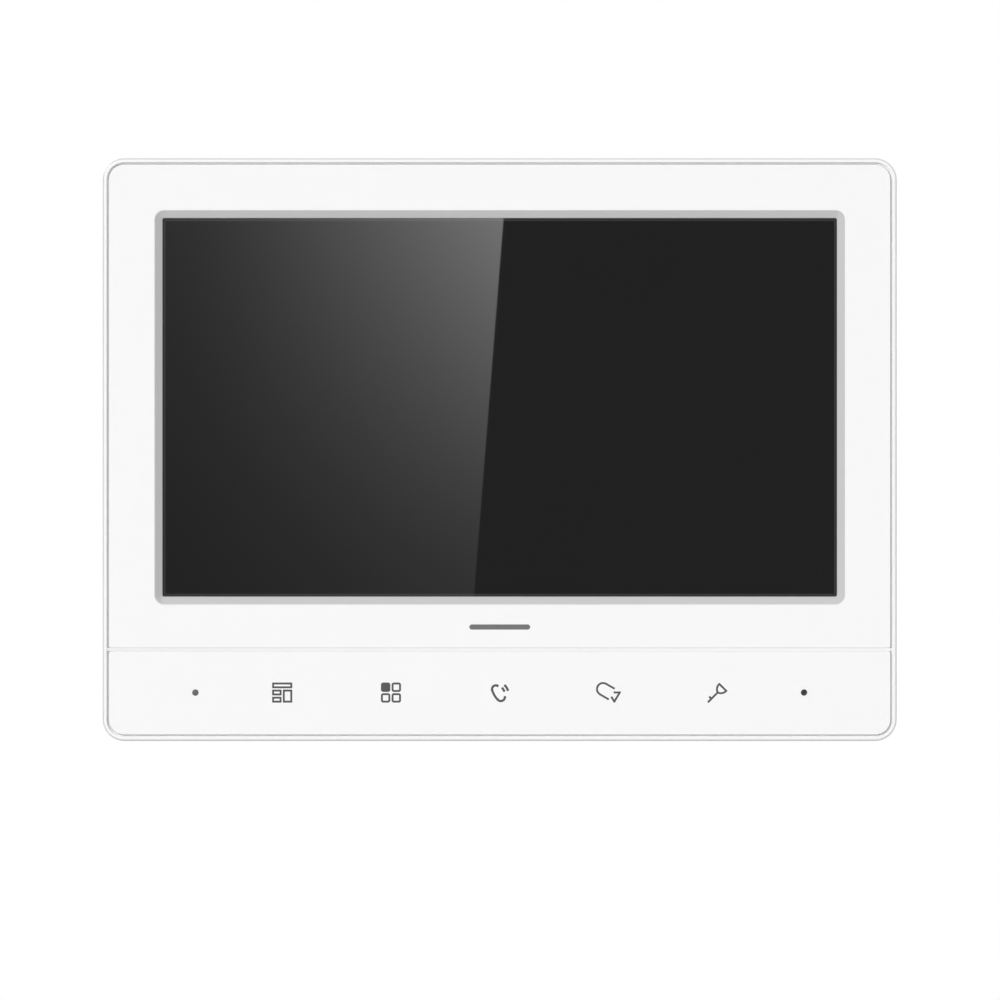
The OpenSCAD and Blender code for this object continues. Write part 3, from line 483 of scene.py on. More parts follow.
FRAME_WHITE = Moulding("frame_white", (0.905, 0.905, 0.905), 0.42)
PANEL_WHITE = Moulding("panel_white", (0.90, 0.90, 0.90), 0.42, grain_depth=0.002 * MM)
REAR_WHITE = Moulding(
    "rear_white", (0.80, 0.80, 0.79), 0.55, grain=0.6 * MM, grain_depth=0.03 * MM
)
SURROUND_GREY = Moulding("surround_grey", (0.60, 0.60, 0.60), 0.38)
SYMBOL_GREY = Moulding("symbol_grey", (0.058, 0.058, 0.058), 0.5)
MARK_GREY = Moulding("mark_grey", (0.14, 0.14, 0.14), 0.45)
IVORY_NYLON = Moulding("ivory_nylon", (0.80, 0.77, 0.66), 0.45, variation=0.02)
RED_NYLON = Moulding("red_nylon", (0.50, 0.03, 0.025), 0.45, variation=0.03)
BLACK_NYLON = Moulding("black_nylon", (0.035, 0.035, 0.035), 0.5, variation=0.05)
WHITE_NYLON = Moulding("white_nylon", (0.85, 0.85, 0.84), 0.5)
PLATE_STEEL = Brushed("plate_steel", (0.62, 0.63, 0.64), 0.36)
MODULE_STEEL = Brushed("module_steel", (0.66, 0.66, 0.66), 0.3)
SCREW_STEEL = Brushed("screw_steel", (0.70, 0.70, 0.69), 0.28, grain=1 * MM)
TIN = Brushed("tinned_sheet", (0.74, 0.74, 0.72), 0.3)
ALUMINIUM = Brushed("aluminium_can", (0.78, 0.78, 0.79), 0.3)
MAGNET_ZINC = Brushed("magnet_zinc", (0.68, 0.66, 0.58), 0.34, grain=2 * MM)
PIN_GOLD = Brushed("pin_gold", (0.80, 0.60, 0.25), 0.25, grain=1 * MM)
BLACK_PAINT = Finish("black_paint", (0.03, 0.03, 0.03), 0.45)
BLACK_FOAM = Foam("black_foam", (0.03, 0.03, 0.03), 0.85)
BLACK_CLOTH = Woven("black_cloth", (0.03, 0.03, 0.03), 0.9)
MESH_GREY = Woven("mesh_grey", (0.17, 0.17, 0.17), 0.5, metallic=0.3, thread=0.25 * MM)
GREEN_BOARD = Board("green_board", (0.012, 0.11, 0.045), 0.35)
CHIP_BLACK = Moulding("chip_black", (0.02, 0.02, 0.022), 0.6, variation=0.05)
FERRITE = Moulding("ferrite", (0.05, 0.05, 0.055), 0.65, variation=0.08)
AMBER_FILM = Finish("amber_film", (0.55, 0.24, 0.03), 0.25, variation=0.04)
LED_YELLOW = Finish("led_phosphor", (0.80, 0.70, 0.25), 0.4)
PIPE_GREY = Finish("light_pipe_grey", (0.10, 0.10, 0.10), 0.4)
DISPLAY_BLACK = Finish("display_black", (0.006, 0.006, 0.007), 0.2)
INK_BLACK = Finish("border_ink", (0.03, 0.03, 0.03), 0.5)
CONE_FILM = Finish("cone_film", (0.03, 0.03, 0.03), 0.4)
RED_SLEEVE = Finish("red_sleeve", (0.45, 0.02, 0.02), 0.45)
LABEL_PAPER = BlankLabel("blank_label", (0.86, 0.86, 0.85), 0.6)
SMOKED_WINDOW = DarkWindow("dark_window", (0.0035, 0.0035, 0.0036), 0.008)
PALE_FLOOR = Finish("pale_floor", (0.80, 0.80, 0.79), 0.7)

CARRIED_OVER: dict[str, Finish] = {
    "window_border": INK_BLACK,
    "lcd_gasket": BLACK_FOAM,
    "lcd_frame": MODULE_STEEL,
    "lcd_glass": DISPLAY_BLACK,
    "lcd_backlight": WHITE_NYLON,
    "backlight_leds": LED_YELLOW,
    "lcd_tray": MODULE_STEEL,
    "lcd_ribbon": AMBER_FILM,
    "main_board": GREEN_BOARD,
    "board_chips": CHIP_BLACK,
    "shield_can": TIN,
    "board_capacitors": ALUMINIUM,
    "power_coil": FERRITE,
    "ribbon_sockets": IVORY_NYLON,
    "key_board": GREEN_BOARD,
    "touch_pads": BLACK_FOAM,
    "key_ribbon": AMBER_FILM,
    "power_led": LED_YELLOW,
    "microphone": TIN,
    "microphone_gasket": BLACK_FOAM,
    "microphone_mesh": MESH_GREY,
    "speaker_cloth": BLACK_CLOTH,
    "speaker_gasket": BLACK_FOAM,
    "speaker_frame": BLACK_PAINT,
    "speaker_magnet": MAGNET_ZINC,
    "speaker_cone": CONE_FILM,
    "speaker_retainer": BLACK_NYLON,
    "speaker_lead": RED_SLEEVE,
    "speaker_plug": IVORY_NYLON,
    "symbol_message": SYMBOL_GREY,
    "symbol_menu": SYMBOL_GREY,
    "symbol_call": SYMBOL_GREY,
    "symbol_camera": SYMBOL_GREY,
    "symbol_unlock": SYMBOL_GREY,
    "front_mark": MARK_GREY,
}


# Geometry helpers --------------------------------------------------------------------------


class Turn(Enum):
    """Which way a screw's head faces."""

    TO_WALL = 0.0
    TO_FRONT = math.pi


@dataclass(frozen=True)
class Outline:
    """A rectangle with rounded corners, seen from the front."""

    half_w: float
    half_h: float
    top_radius: float
    low_radius: float
    middle: float = 0.0
    steps: int = 12

    def ring(self, inset: float, out: float) -> list[Vector]:
        """The outline's points, drawn in by an inset, at a distance out from the wall.

        Args:
            inset: How far the outline is drawn in; negative grows it.
            out: Distance from the wall plane.

        Returns:
            The points, anticlockwise from the right-hand top corner.
        """
        least = 0.02 * MM
        points = []
        for quarter, (sx, sz) in enumerate([(1, 1), (-1, 1), (-1, -1), (1, -1)]):
            radius = max((self.top_radius if sz > 0 else self.low_radius) - inset, least)
            cx = sx * (self.half_w - inset - radius)
            cz = self.middle + sz * (self.half_h - inset - radius)
            for step in range(self.steps + 1):
                angle = (quarter + step / self.steps) * math.pi / 2
                across, up = radius * math.cos(angle), radius * math.sin(angle)
                points.append(Vector((cx + across, -out, cz + up)))
        return points


def rounding(radius: float, steps: int = 5, depth: float | None = None) -> Profile:
    """A convex quarter round as (inset, drop) pairs, from the side wall to the face.

    Args:
        radius: Radius of the round across the face.
        steps: Number of flats.
        depth: Radius along the side wall, when it differs.

    Returns:
        The pairs, with a short straight run before and after.
    """
    run = 1.25
    deep = depth or radius
    angles = [i / steps * math.pi / 2 for i in range(steps + 1)]
    arc = [(radius * (1 - math.cos(a)), deep * (1 - math.sin(a))) for a in angles]
    return [(0.0, deep * run), *arc, (radius * run, 0.0)]


def box_centre(node: str) -> Vector:
    """Middle of a node's box."""
    low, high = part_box(node)
    return (low + high) / 2


def box_size(node: str) -> Vector:
    """Width, depth and height of a node's box."""
    low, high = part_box(node)
    return high - low


def reach(node: str) -> tuple[float, float]:
    """The nearest and farthest distance of a node from the wall plane."""
    low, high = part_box(node)
    return -high.y, -low.y


def outline_of(node: str, top: float, low: float) -> Outline:
    """The outline of a node's box, with an upper and a lower corner radius."""
    size = box_size(node)
    return Outline(size.x / 2, size.z / 2, top, low, box_centre(node).z)


def placed(name: str, data: bpy.types.ID) -> bpy.types.Object:
    """Put a mesh, a light or a camera into the scene as a named object.

    Args:
        name: The object's name.
        data: What the object shows.

    Returns:
        The object.
    """
    made = bpy.data.objects.new(name, data)
    bpy.context.scene.collection.objects.link(made)
    return made


def object_of(name: str, shape: bmesh.types.BMesh) -> bpy.types.Object:
    """Put a finished shape into the scene, and free it.

    Args:
        name: The object's name.
        shape: The shape.

    Returns:
        The object.
    """
    mesh = bpy.data.meshes.new(name)
    shape.to_mesh(mesh)
    shape.free()
    return placed(name, mesh)


def smooth_shape(shape: bmesh.types.BMesh, sharp_angle: float = SHARP_ANGLE) -> None:
    """Shade a shape smooth, except across its sharp edges.

    Args:
        shape: The shape.
        sharp_angle: Edges that bend more than this, in degrees, stay sharp.
    """
    limit = math.radians(sharp_angle)
    for face in shape.faces:
        face.smooth = True
    for edge in shape.edges:
        edge.smooth = len(edge.link_faces) == 2 and edge.calc_face_angle(0.0) < limit


def reshade(
    piece: bpy.types.Object, sharp_angle: float = SHARP_ANGLE, weld: bool = False
) -> None:
    """Shade a piece again after its mesh has changed.

    Args:
        piece: The piece.
        sharp_angle: Edges that bend more than this, in degrees, stay sharp.
        weld: True first joins points that coincide, and turns the faces outwards.
    """
    shape = bmesh.new()
    shape.from_mesh(piece.data)
    if weld:
        bmesh.ops.remove_doubles(shape, verts=shape.verts, dist=WELD)
        bmesh.ops.recalc_face_normals(shape, faces=shape.faces)
    smooth_shape(shape, sharp_angle)
    shape.to_mesh(piece.data)
    shape.free()


def loft(name: str, rings: list[list[Vector]], closed: bool) -> bpy.types.Object:
    """Skin a row of rings that have equal counts of points.

    Args:
        name: The object's name.
        rings: The rings, in order.
        closed: True joins the last ring to the first; False caps both ends.

    Returns:
        The object.
    """
    shape = bmesh.new()
    rows = [[shape.verts.new(p) for p in ring] for ring in rings]
    count = len(rows[0])
    pairs = list(zip(rows, rows[1:] + rows[:1])) if closed else list(zip(rows, rows[1:]))
    for low, high in pairs:
        for i in range(count):
            j = (i + 1) % count
            shape.faces.new((low[i], low[j], high[j], high[i]))
    if not closed:
        shape.faces.new(rows[0])
        shape.faces.new(rows[-1])
    bmesh.ops.recalc_face_normals(shape, faces=shape.faces)
    smooth_shape(shape)
    return object_of(name, shape)


def lathe(name: str, profile: Profile, axis_at: Vector, sides: int = 32) -> bpy.types.Object:
    """Turn a profile round an axis that runs out from the wall.

    Args:
        name: The object's name.
        profile: Pairs of a radius and a distance from the wall.
        axis_at: A point of the axis.
        sides: Number of flats round the axis.

    Returns:
        The object.
    """
    turns = [math.tau * i / sides for i in range(sides)]
    spin = [(math.cos(turn), math.sin(turn)) for turn in turns]
    rings = [
        [Vector((axis_at.x + radius * c, -out, axis_at.z + radius * s)) for c, s in spin]
        for radius, out in profile
    ]
    return loft(name, rings, False)


def merged_copy(node: str) -> bmesh.types.BMesh:
    """Copy a node's mesh, join its loose triangles and make its flat faces whole.

    Args:
        node: The node.

    Returns:
        The copy.
    """
    flat = math.radians(0.4)
    shape = bmesh.new()
    shape.from_mesh(bpy.data.objects[node].data)
    bmesh.ops.remove_doubles(shape, verts=shape.verts, dist=WELD)
    bmesh.ops.dissolve_limit(shape, angle_limit=flat, verts=shape.verts, edges=shape.edges)
    return shape


def softened(name: str, node: str, width: float) -> bpy.types.Object:
    """A copy of a node with its sharp edges rounded.

    Args:
        name: The new object's name.
        node: The node that is copied.
        width: Width of the rounding.

    Returns:
        The object.
    """
    shape = merged_copy(node)
    limit = math.radians(32.0)
    sharp = [e for e in shape.edges if len(e.link_faces) == 2 and e.calc_face_angle(0.0) > limit]
    bmesh.ops.bevel(
        shape, geom=sharp, offset=width, offset_type="OFFSET", segments=2,
        profile=0.5, affect="EDGES", clamp_overlap=True,
    )
    smooth_shape(shape)
    made = object_of(name, shape)
    step = made.modifiers.new("even", "WEIGHTED_NORMAL")
    step.keep_sharp = True
    apply_steps(made)
    return made


def stretched_cutter(nodes: Iterable[str], face: float) -> bpy.types.Object:
    """Join inlays into one cutter whose front is pushed out past the face.

    Args:
        nodes: The inlays' nodes.
        face: Distance of the face from the wall.

    Returns:
        The cutter.
    """
    whole = bmesh.new()
    near = 0.01 * MM
    for node in nodes:
        part = merged_copy(node)
        for vert in part.verts:
            if -vert.co.y > face - near:
                vert.co.y -= MM
        mesh = bpy.data.meshes.new(node)
        part.to_mesh(mesh)
        part.free()
        whole.from_mesh(mesh)
        bpy.data.meshes.remove(mesh)
    return object_of("cutter", whole)


def cut_away(piece: bpy.types.Object, cutter: bpy.types.Object) -> None:
    """Cut one shape out of another for good, and remove the cutter.

    Args:
        piece: The piece that is cut.
        cutter: The shape that is taken out.
    """
    step = piece.modifiers.new("cut", "BOOLEAN")
    step.operation = "DIFFERENCE"
    step.solver = "EXACT"
    step.object = cutter
    apply_steps(piece)
    bpy.data.objects.remove(cutter)
    reshade(piece)


def apply_steps(piece: bpy.types.Object) -> None:
    """Turn a piece's modifiers into a plain mesh.

    Args:
        piece: The piece.
    """
    bpy.context.view_layer.update()
    depsgraph = bpy.context.evaluated_depsgraph_get()
    plain = bpy.data.meshes.new_from_object(piece.evaluated_get(depsgraph))
    piece.modifiers.clear()
    old = piece.data
    piece.data = plain
    bpy.data.meshes.remove(old)


# Geometry node trees -----------------------------------------------------------------------


class TreeMaker:
    """Builds a Geometry Nodes tree with named inputs that ends in Set Material."""

    def __init__(self, name: str, inputs: dict[str, str]) -> None:
        """Start a tree.

        Args:
            name: The tree's name.
            inputs: Each input's name and socket type.
        """
        self.tree = bpy.data.node_groups.new(name, "GeometryNodeTree")
        face = self.tree.interface
        face.new_socket("Geometry", in_out="INPUT", socket_type="NodeSocketGeometry")
        self.ids = {
            key: face.new_socket(key, in_out="INPUT", socket_type=kind).identifier
            for key, kind in {**inputs, "Material": "NodeSocketMaterial"}.items()
        }
        face.new_socket("Geometry", in_out="OUTPUT", socket_type="NodeSocketGeometry")
        self.graph = Graph(self.tree)
        self.start = self.graph.node("NodeGroupInput")

    def given(self, key: str) -> bpy.types.NodeSocket:
        """The socket of a named input."""
        return self.start.outputs[key]

    def end(self, geometry: bpy.types.NodeSocket, smooth: bool) -> None:
        """Realize, shade, set the material and close the tree.

        Args:
            geometry: The tree's result.
            smooth: True shades it smooth.
        """
        add = self.graph.node
        real = add("GeometryNodeRealizeInstances", None, {0: geometry}).outputs[0]
        shaded = add("GeometryNodeSetShadeSmooth", None, {0: real, 2: smooth}).outputs[0]
        sockets = {"Geometry": shaded, "Material": self.given("Material")}
        dressed = add("GeometryNodeSetMaterial", None, sockets).outputs[0]
        add("NodeGroupOutput", None, {0: dressed})

    def run(self, piece: bpy.types.Object, **values: Any) -> None:
        """Run the tree on a piece and keep the result as its plain mesh.

        Args:
            piece: The piece.
            **values: The tree's inputs by name.
        """
        step = piece.modifiers.new("shape", "NODES")
        step.node_group = self.tree
        for key, value in values.items():
            step[self.ids[key]] = value
        apply_steps(piece)


def ring_tree() -> TreeMaker:
    """A tree that sweeps the piece's own polyline round a rounded rectangle.

    Returns:
        The tree, with the rectangle's Width, Height, Radius and the Steps of each corner.
    """
    sizes = {key: "NodeSocketFloat" for key in ("Width", "Height", "Radius")}
    maker = TreeMaker("rounded_ring", {**sizes, "Steps": "NodeSocketInt"})
    add = maker.graph.node
    given = maker.given
    sides = {"Width": given("Width"), "Height": given("Height")}
    path = add("GeometryNodeCurvePrimitiveQuadrilateral", None, sides).outputs[0]
    corners = {"Curve": path, "Radius": given("Radius"), "Count": given("Steps")}
    bent = add("GeometryNodeFilletCurve", {"mode": "POLY"}, corners).outputs[0]
    section = add("GeometryNodeMeshToCurve", None, {0: given("Geometry")}).outputs[0]
    swept = add("GeometryNodeCurveToMesh", None, {0: bent, 1: section}).outputs[0]
    upright = {"Geometry": swept, "Rotation": (math.pi / 2, 0.0, 0.0)}
    maker.end(add("GeometryNodeTransform", None, upright).outputs[0], True)
    return maker


def copies_tree() -> TreeMaker:
    """A tree that puts a copy of an object on each of the piece's points.

    Returns:
        The tree, with the object to Copy, the most that a copy may Spin, and a Seed.
    """
    kinds = {"Copy": "NodeSocketObject", "Spin": "NodeSocketFloat", "Seed": "NodeSocketInt"}
    maker = TreeMaker("copies_on_points", kinds)
    add = maker.graph.node
    given = maker.given
    source = add("GeometryNodeObjectInfo", None, {"Object": given("Copy")}).outputs["Geometry"]
    limits = {2: 0.0, 3: given("Spin"), 8: given("Seed")}
    chance = add("FunctionNodeRandomValue", {"data_type": "FLOAT"}, limits).outputs[1]
    turned = add("ShaderNodeCombineXYZ", None, {1: chance}).outputs[0]
    sockets = {"Points": given("Geometry"), "Instance": source, "Rotation": turned}
    maker.end(add("GeometryNodeInstanceOnPoints", None, sockets).outputs[0], False)
    return maker


def swept_ring(
    name: str,
    maker: TreeMaker,
    profile: Profile,
    size: tuple[float, float, float],
    middle: float,
    finish: Finish,
    sharp_angle: float = SHARP_ANGLE,
) -> bpy.types.Object:
    """Sweep a closed profile of (inset, out) pairs round a rounded rectangle.

    Args:
        name: The object's name.
        maker: The ring tree.
        profile: The closed profile.
        size: Width, height and corner radius of the path.
        middle: Height of the ring's middle.
        finish: The ring's finish.
        sharp_angle: Edges that bend more than this, in degrees, stay sharp.

    Returns:
        The object.
    """
    mesh = bpy.data.meshes.new(name)
    count = len(profile)
    points = [(-inset, -out, 0.0) for inset, out in profile]
    mesh.from_pydata(points, [(i, (i + 1) % count) for i in range(count)], [])
    piece = placed(name, mesh)
    path = dict(zip(("Width", "Height", "Radius"), size))
    maker.run(piece, **path, Steps=RING_STEPS, Material=finish.material())
    piece.data.transform(Matrix.Translation((0, 0, middle)))
    reshade(piece, sharp_angle, weld=True)
    return piece


def copies(
    name: str,
    maker: TreeMaker,
    points: Sequence[Vector],
    original: bpy.types.Object,
    finish: Finish,
    spin: float = 0.0,
) -> bpy.types.Object:
    """Put copies of an object on points, and remove the original.

    Args:
        name: The object's name.
        maker: The copies tree.
        points: Where the copies go.
        original: The object that is copied.
        finish: The copies' finish.
        spin: The most that a copy is turned.

    Returns:
        The object.
    """
    mesh = bpy.data.meshes.new(name)
    mesh.from_pydata([tuple(p) for p in points], [], [])
    piece = placed(name, mesh)
    maker.run(piece, Copy=original, Spin=spin, Seed=len(points), Material=finish.material())
    bpy.data.objects.remove(original)
    reshade(piece)
    return piece


# Sub-assemblies ----------------------------------------------------------------------------


def dress(piece: bpy.types.Object, finish: Finish) -> None:
    """Give a piece one finish in place of all that it has."""
    piece.data.materials.clear()
    piece.data.materials.append(finish.material())


class Assembly:
    """Shared steps of every sub-assembly."""

    body: ClassVar[str] = "monitor"

    def settle(self, piece: bpy.types.Object, finish: Finish, slot: str, node: str) -> None:
        """Dress a piece, let it ride on the body and stand for its node.

        Args:
            piece: The finished piece.
            finish: Its finish.
            slot: The record's material slot; not used.
            node: The node that it stands for.
        """
        dress(piece, finish)
        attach(piece, self.body)
        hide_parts(node)
        LOG.info("%s: %d faces", piece.name, len(piece.data.polygons))


@dataclass
class Front(Assembly):
    """Frame, panels and the ring round the screen."""

    rings: TreeMaker
    side_run: float = 12 * MM
    wall: float = 2 * MM
    back_ease: float = 0.3 * MM
    web_t: float = 2 * MM
    web_edge: float = 4 * MM
    web_lap: float = 0.2 * MM
    web_step: float = 0.02 * MM
    module_gap: float = 0.5 * MM
    module_corner: float = 1 * MM
    corner: float = 5.0 * MM
    rim: float = 1.03 * MM
    groove: float = 0.45 * MM
    groove_depth: float = 0.9 * MM
    ledge_gap: float = 0.08 * MM
    edge: float = 0.50 * MM
    edge_depth: float = 2.4 * MM
    lip_edge: float = 0.15 * MM
    panel_edge: float = 0.14 * MM
    panel_ease: float = 0.1 * MM
    hole_edge: float = 0.08 * MM
    seam_corner: float = 0.4 * MM
    seam_drop: float = 0.4 * MM
    seam_slope: float = 0.32
    rib_fit: float = 0.01 * MM
    rib_ease: float = 0.03 * MM
    rib_root: float = 0.1 * MM
    rib_lap: float = 0.412 * MM
    bevel: float = 1.8 * MM
    bevel_drop: float = 1.2 * MM
    bevel_sharp: float = 8.0
    land: float = 0.15 * MM
    land_ease: float = 0.06 * MM
    hole_corner: float = 2.2 * MM

    def build(self) -> None:
        """Build every visible piece of the front."""
        self.frame()
        self.screen_panel()
        self.key_panel()
        self.surround()

    def frame(self) -> None:
        """The frame: side wall, rounded rim, groove and ledge, with its web and seam rib."""
        size = box_size("front_frame")
        face = reach("front_frame")[1]
        back = face - self.side_run
        floor = reach("screen_panel")[0]
        web = floor - self.web_t
        wall, ease, edge = self.wall, self.back_ease, self.web_edge
        profile = [(wall, back + ease), (wall - ease, back), (ease, back), (0.0, back + ease)]
        profile += [(i, face - drop) for i, drop in rounding(self.edge, 7, self.edge_depth)]
        profile += [(self.rim - i, face - drop) for i, drop in reversed(rounding(self.lip_edge, 4))]
        low = face - self.groove_depth
        shelf = self.rim + self.groove - self.ledge_gap
        profile += [(self.rim, low), (shelf, low), (shelf, floor)]
        profile += [(edge, floor), (edge, web), (wall, web)]
        path = (size.x, size.z, self.corner)
        ring = swept_ring("frame_shell", self.rings, profile, path, 0.0, FRAME_WHITE)
        self.settle(ring, FRAME_WHITE, "frame_white", "front_frame")
        self.web(web, floor)
        self.seam_rib(size, face, floor)

    def web(self, low: float, high: float) -> None:
        """The wall behind the panels, open where the screen module sits.

        Args:
            low: Distance of its back from the wall.
            high: Distance of its front from the wall.
        """
        outer = outline_of("front_frame", self.corner, self.corner)
        lcd = box_size("lcd_frame") / 2
        gap, corner = self.module_gap, self.module_corner
        hole = Outline(lcd.x + gap, lcd.z + gap, corner, corner, box_centre("lcd_frame").z)
        inset = self.web_edge - self.web_lap
        top = high - self.web_step
        rows = [outer.ring(inset, low), outer.ring(inset, top), hole.ring(0, top), hole.ring(0, low)]
        self.settle(loft("frame_web", rows, True), FRAME_WHITE, "frame_white", "front_frame")

    def seam_rib(self, size: Vector, face: float, floor: float) -> None:
        """The low rib that fills the seam between the panels; its top leans down a little.

        Args:
            size: Width, depth and height of the frame.
            face: Distance of the frame's face from the wall.
            floor: Distance of the panels' backs from the wall.
        """
        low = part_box("key_panel")[1].z
        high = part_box("screen_panel")[0].z
        ease = self.rib_ease
        half_w = size.x / 2 - self.rim + self.rib_lap
        half_h = (high - low) / 2 - self.rib_fit
        rib = Outline(half_w, half_h, ease, ease, (low + high) / 2, 3)
        top = face - self.seam_drop
        rows = [rib.ring(0, floor - self.rib_root), rib.ring(0, top - ease), rib.ring(ease, top)]
        for point in rows[1] + rows[2]:
            point.y -= self.seam_slope * (point.z - rib.middle)
        self.settle(loft("seam_rib", rows, False), FRAME_WHITE, "frame_white", "front_frame")

    def _sides(self, outline: Outline, low: float, face: float) -> list[list[Vector]]:
        """Rings of a panel's side, from its back to its rounded front edge.

        Args:
            outline: The panel's outline.
            low: Distance of its back from the wall.
            face: Distance of its face from the wall.

        Returns:
            The rings.
        """
        rows = [outline.ring(self.panel_ease, low), outline.ring(0, low + self.panel_ease)]
        rows += [outline.ring(i, face - drop) for i, drop in rounding(self.panel_edge)]
        return rows

    def screen_panel(self) -> None:
        """The upper panel with its screen opening and the pocket of the plain mark."""
        low, face = reach("screen_panel")
        corner = self.corner - self.rim - self.groove
        outer = outline_of("screen_panel", corner, self.seam_corner)
        hole = outline_of("screen_surround", self.hole_corner, self.hole_corner)
        rows = self._sides(outer, low, face)
        rows += [hole.ring(-i, face - drop) for i, drop in reversed(rounding(self.hole_edge, 3))]
        rows += [hole.ring(0, low)]
        panel = loft("upper_panel", rows, True)
        cut_away(panel, stretched_cutter(["front_mark"], face))
        self.settle(panel, PANEL_WHITE, "panel_white", "screen_panel")

    def key_panel(self) -> None:
        """The lower panel with the symbols' pockets and its two small holes."""
        low, face = reach("key_panel")
        corner = self.corner - self.rim - self.groove
        outer = outline_of("key_panel", self.seam_corner, corner)
        panel = loft("lower_panel", self._sides(outer, low, face), False)
        cut_away(panel, stretched_cutter(KeyRow.symbols, face))
        bore = [(KeyRow.hole / 2, low - MM), (KeyRow.hole / 2, face + MM)]
        for node in ("power_light_pipe", "microphone_mesh"):
            cut_away(panel, lathe("hole", bore, box_centre(node)))
        self.settle(panel, PANEL_WHITE, "panel_white", "key_panel")

    def surround(self) -> None:
        """The ring that slopes from the face down to the window."""
        size = box_size("screen_surround")
        low, face = reach("screen_surround")
        land, ease = self.land, self.land_ease
        lip = face - self.bevel_drop
        profile = [(0.0, low), (0.0, face - ease), (ease, face), (land, face)]
        profile += [(land + ease, face - ease), (self.bevel - ease, lip + ease)]
        profile += [(self.bevel, lip - ease), (self.bevel, low)]
        path = (size.x, size.z, self.hole_corner)
        middle = box_centre("screen_surround").z
        ring = swept_ring(
            "screen_ring", self.rings, profile, path, middle, SURROUND_GREY, self.bevel_sharp
        )
        self.settle(ring, SURROUND_GREY, "surround_grey", "screen_surround")


@dataclass
class Screen(Assembly):
    """The glossy window over the screen module."""

    active_w: float = 154.1 * MM
    active_h: float = 85.9 * MM
    corner: float = 2 * MM
    back_ease: float = 0.1 * MM
    polish: float = 0.12 * MM

    def build(self) -> None:
        """Build the window with its polished edge."""
        low, face = reach("screen_window")
        outline = outline_of("screen_window", self.corner, self.corner)
        rows = [outline.ring(self.back_ease, low), outline.ring(0, low + self.back_ease)]
        rows += [outline.ring(i, face - drop) for i, drop in rounding(self.polish, 3)]
        half = {"half_w": self.active_w / 2, "half_h": self.active_h / 2}
        finish = replace(SMOKED_WINDOW, **half, middle=outline.middle)
        self.settle(loft("dark_window", rows, False), finish, "window_glass", "screen_window")


@dataclass
class KeyRow(Assembly):
    """The light pipe, and the inlaid symbols' shared facts."""

    symbols: ClassVar[tuple[str, ...]] = (
        "symbol_message", "symbol_menu", "symbol_call", "symbol_camera", "symbol_unlock"
    )
    hole: ClassVar[float] = 1.5 * MM
    fit: float = 0.02 * MM
    ease: float = 0.1 * MM
    flange_t: float = 0.8 * MM
    dome: float = 0.06 * MM
    dome_span: float = 0.96

    def build(self) -> None:
        """Build the light pipe with its flange and domed end."""
        node = "power_light_pipe"
        low, face = reach(node)
        flange = box_size(node).x / 2
        stem = self.hole / 2 - self.fit
        step = low + self.flange_t
        base = face - self.dome
        profile = [(flange - self.ease, low), (flange, low + self.ease)]
        profile += [(flange, step), (stem, step), (stem, base)]
        flats = 5
        for i in range(1, flats + 1):
            angle = i / flats * math.pi / 2 * self.dome_span
            profile.append((stem * math.cos(angle), base + self.dome * math.sin(angle)))
        pipe = lathe("light_pipe", profile, box_centre(node))
        self.settle(pipe, PIPE_GREY, "light_pipe_grey", node)


@dataclass
class Rear(Assembly):
    """Rear housing and blank label."""

    edge: float = 0.25 * MM
    label_edge: float = 0.03 * MM

    def build(self) -> None:
        """Build the housing and the label with softened edges."""
        housing = softened("rear_shell", "rear_housing", self.edge)
        self.settle(housing, REAR_WHITE, "rear_white", "rear_housing")
        size = box_size("rating_label")
        middle = box_centre("rating_label")
        half = {"half_w": size.x / 2, "half_h": size.z / 2}
        finish = replace(LABEL_PAPER, **half, middle=(middle.x, middle.z))
        label = softened("blank_label", "rating_label", self.label_edge)
        self.settle(label, finish, "label_paper", "rating_label")


@dataclass
class WallPlate(Assembly):
    """The hooked plate that stays on the wall."""

    body: ClassVar[str] = "wall_bracket"
    edge: float = 0.15 * MM

    def build(self) -> None:
        """Build the plate with the rolled-over edges of pressed sheet."""
        plate = softened("hook_plate", "wall_plate", self.edge)
        self.settle(plate, PLATE_STEEL, "plate_steel", "wall_plate")


@dataclass(frozen=True)
class ScrewSet:
    """A set of equal screws on a grid of places."""

    node: str
    head: float
    head_t: float
    shank: float
    turn: Turn
    columns: tuple[float, ...]
    rows: tuple[float, ...]

    def places(self) -> list[Vector]:
        """Work out where each screw's head starts.

        Returns:
            The places, column by column.
        """
        low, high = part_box(self.node)
        y = high.y if self.turn is Turn.TO_WALL else low.y
        radius = self.head / 2
        width = high.x - low.x - self.head
        height = high.z - low.z - self.head
        return [
            Vector((low.x + radius + c * width, y, low.z + radius + r * height))
            for c in self.columns
            for r in self.rows
        ]


CASE_SCREW = (5 * MM, 1.6 * MM, 2.5 * MM)
SMALL_SCREW = (4 * MM, 1.2 * MM, 2.2 * MM)


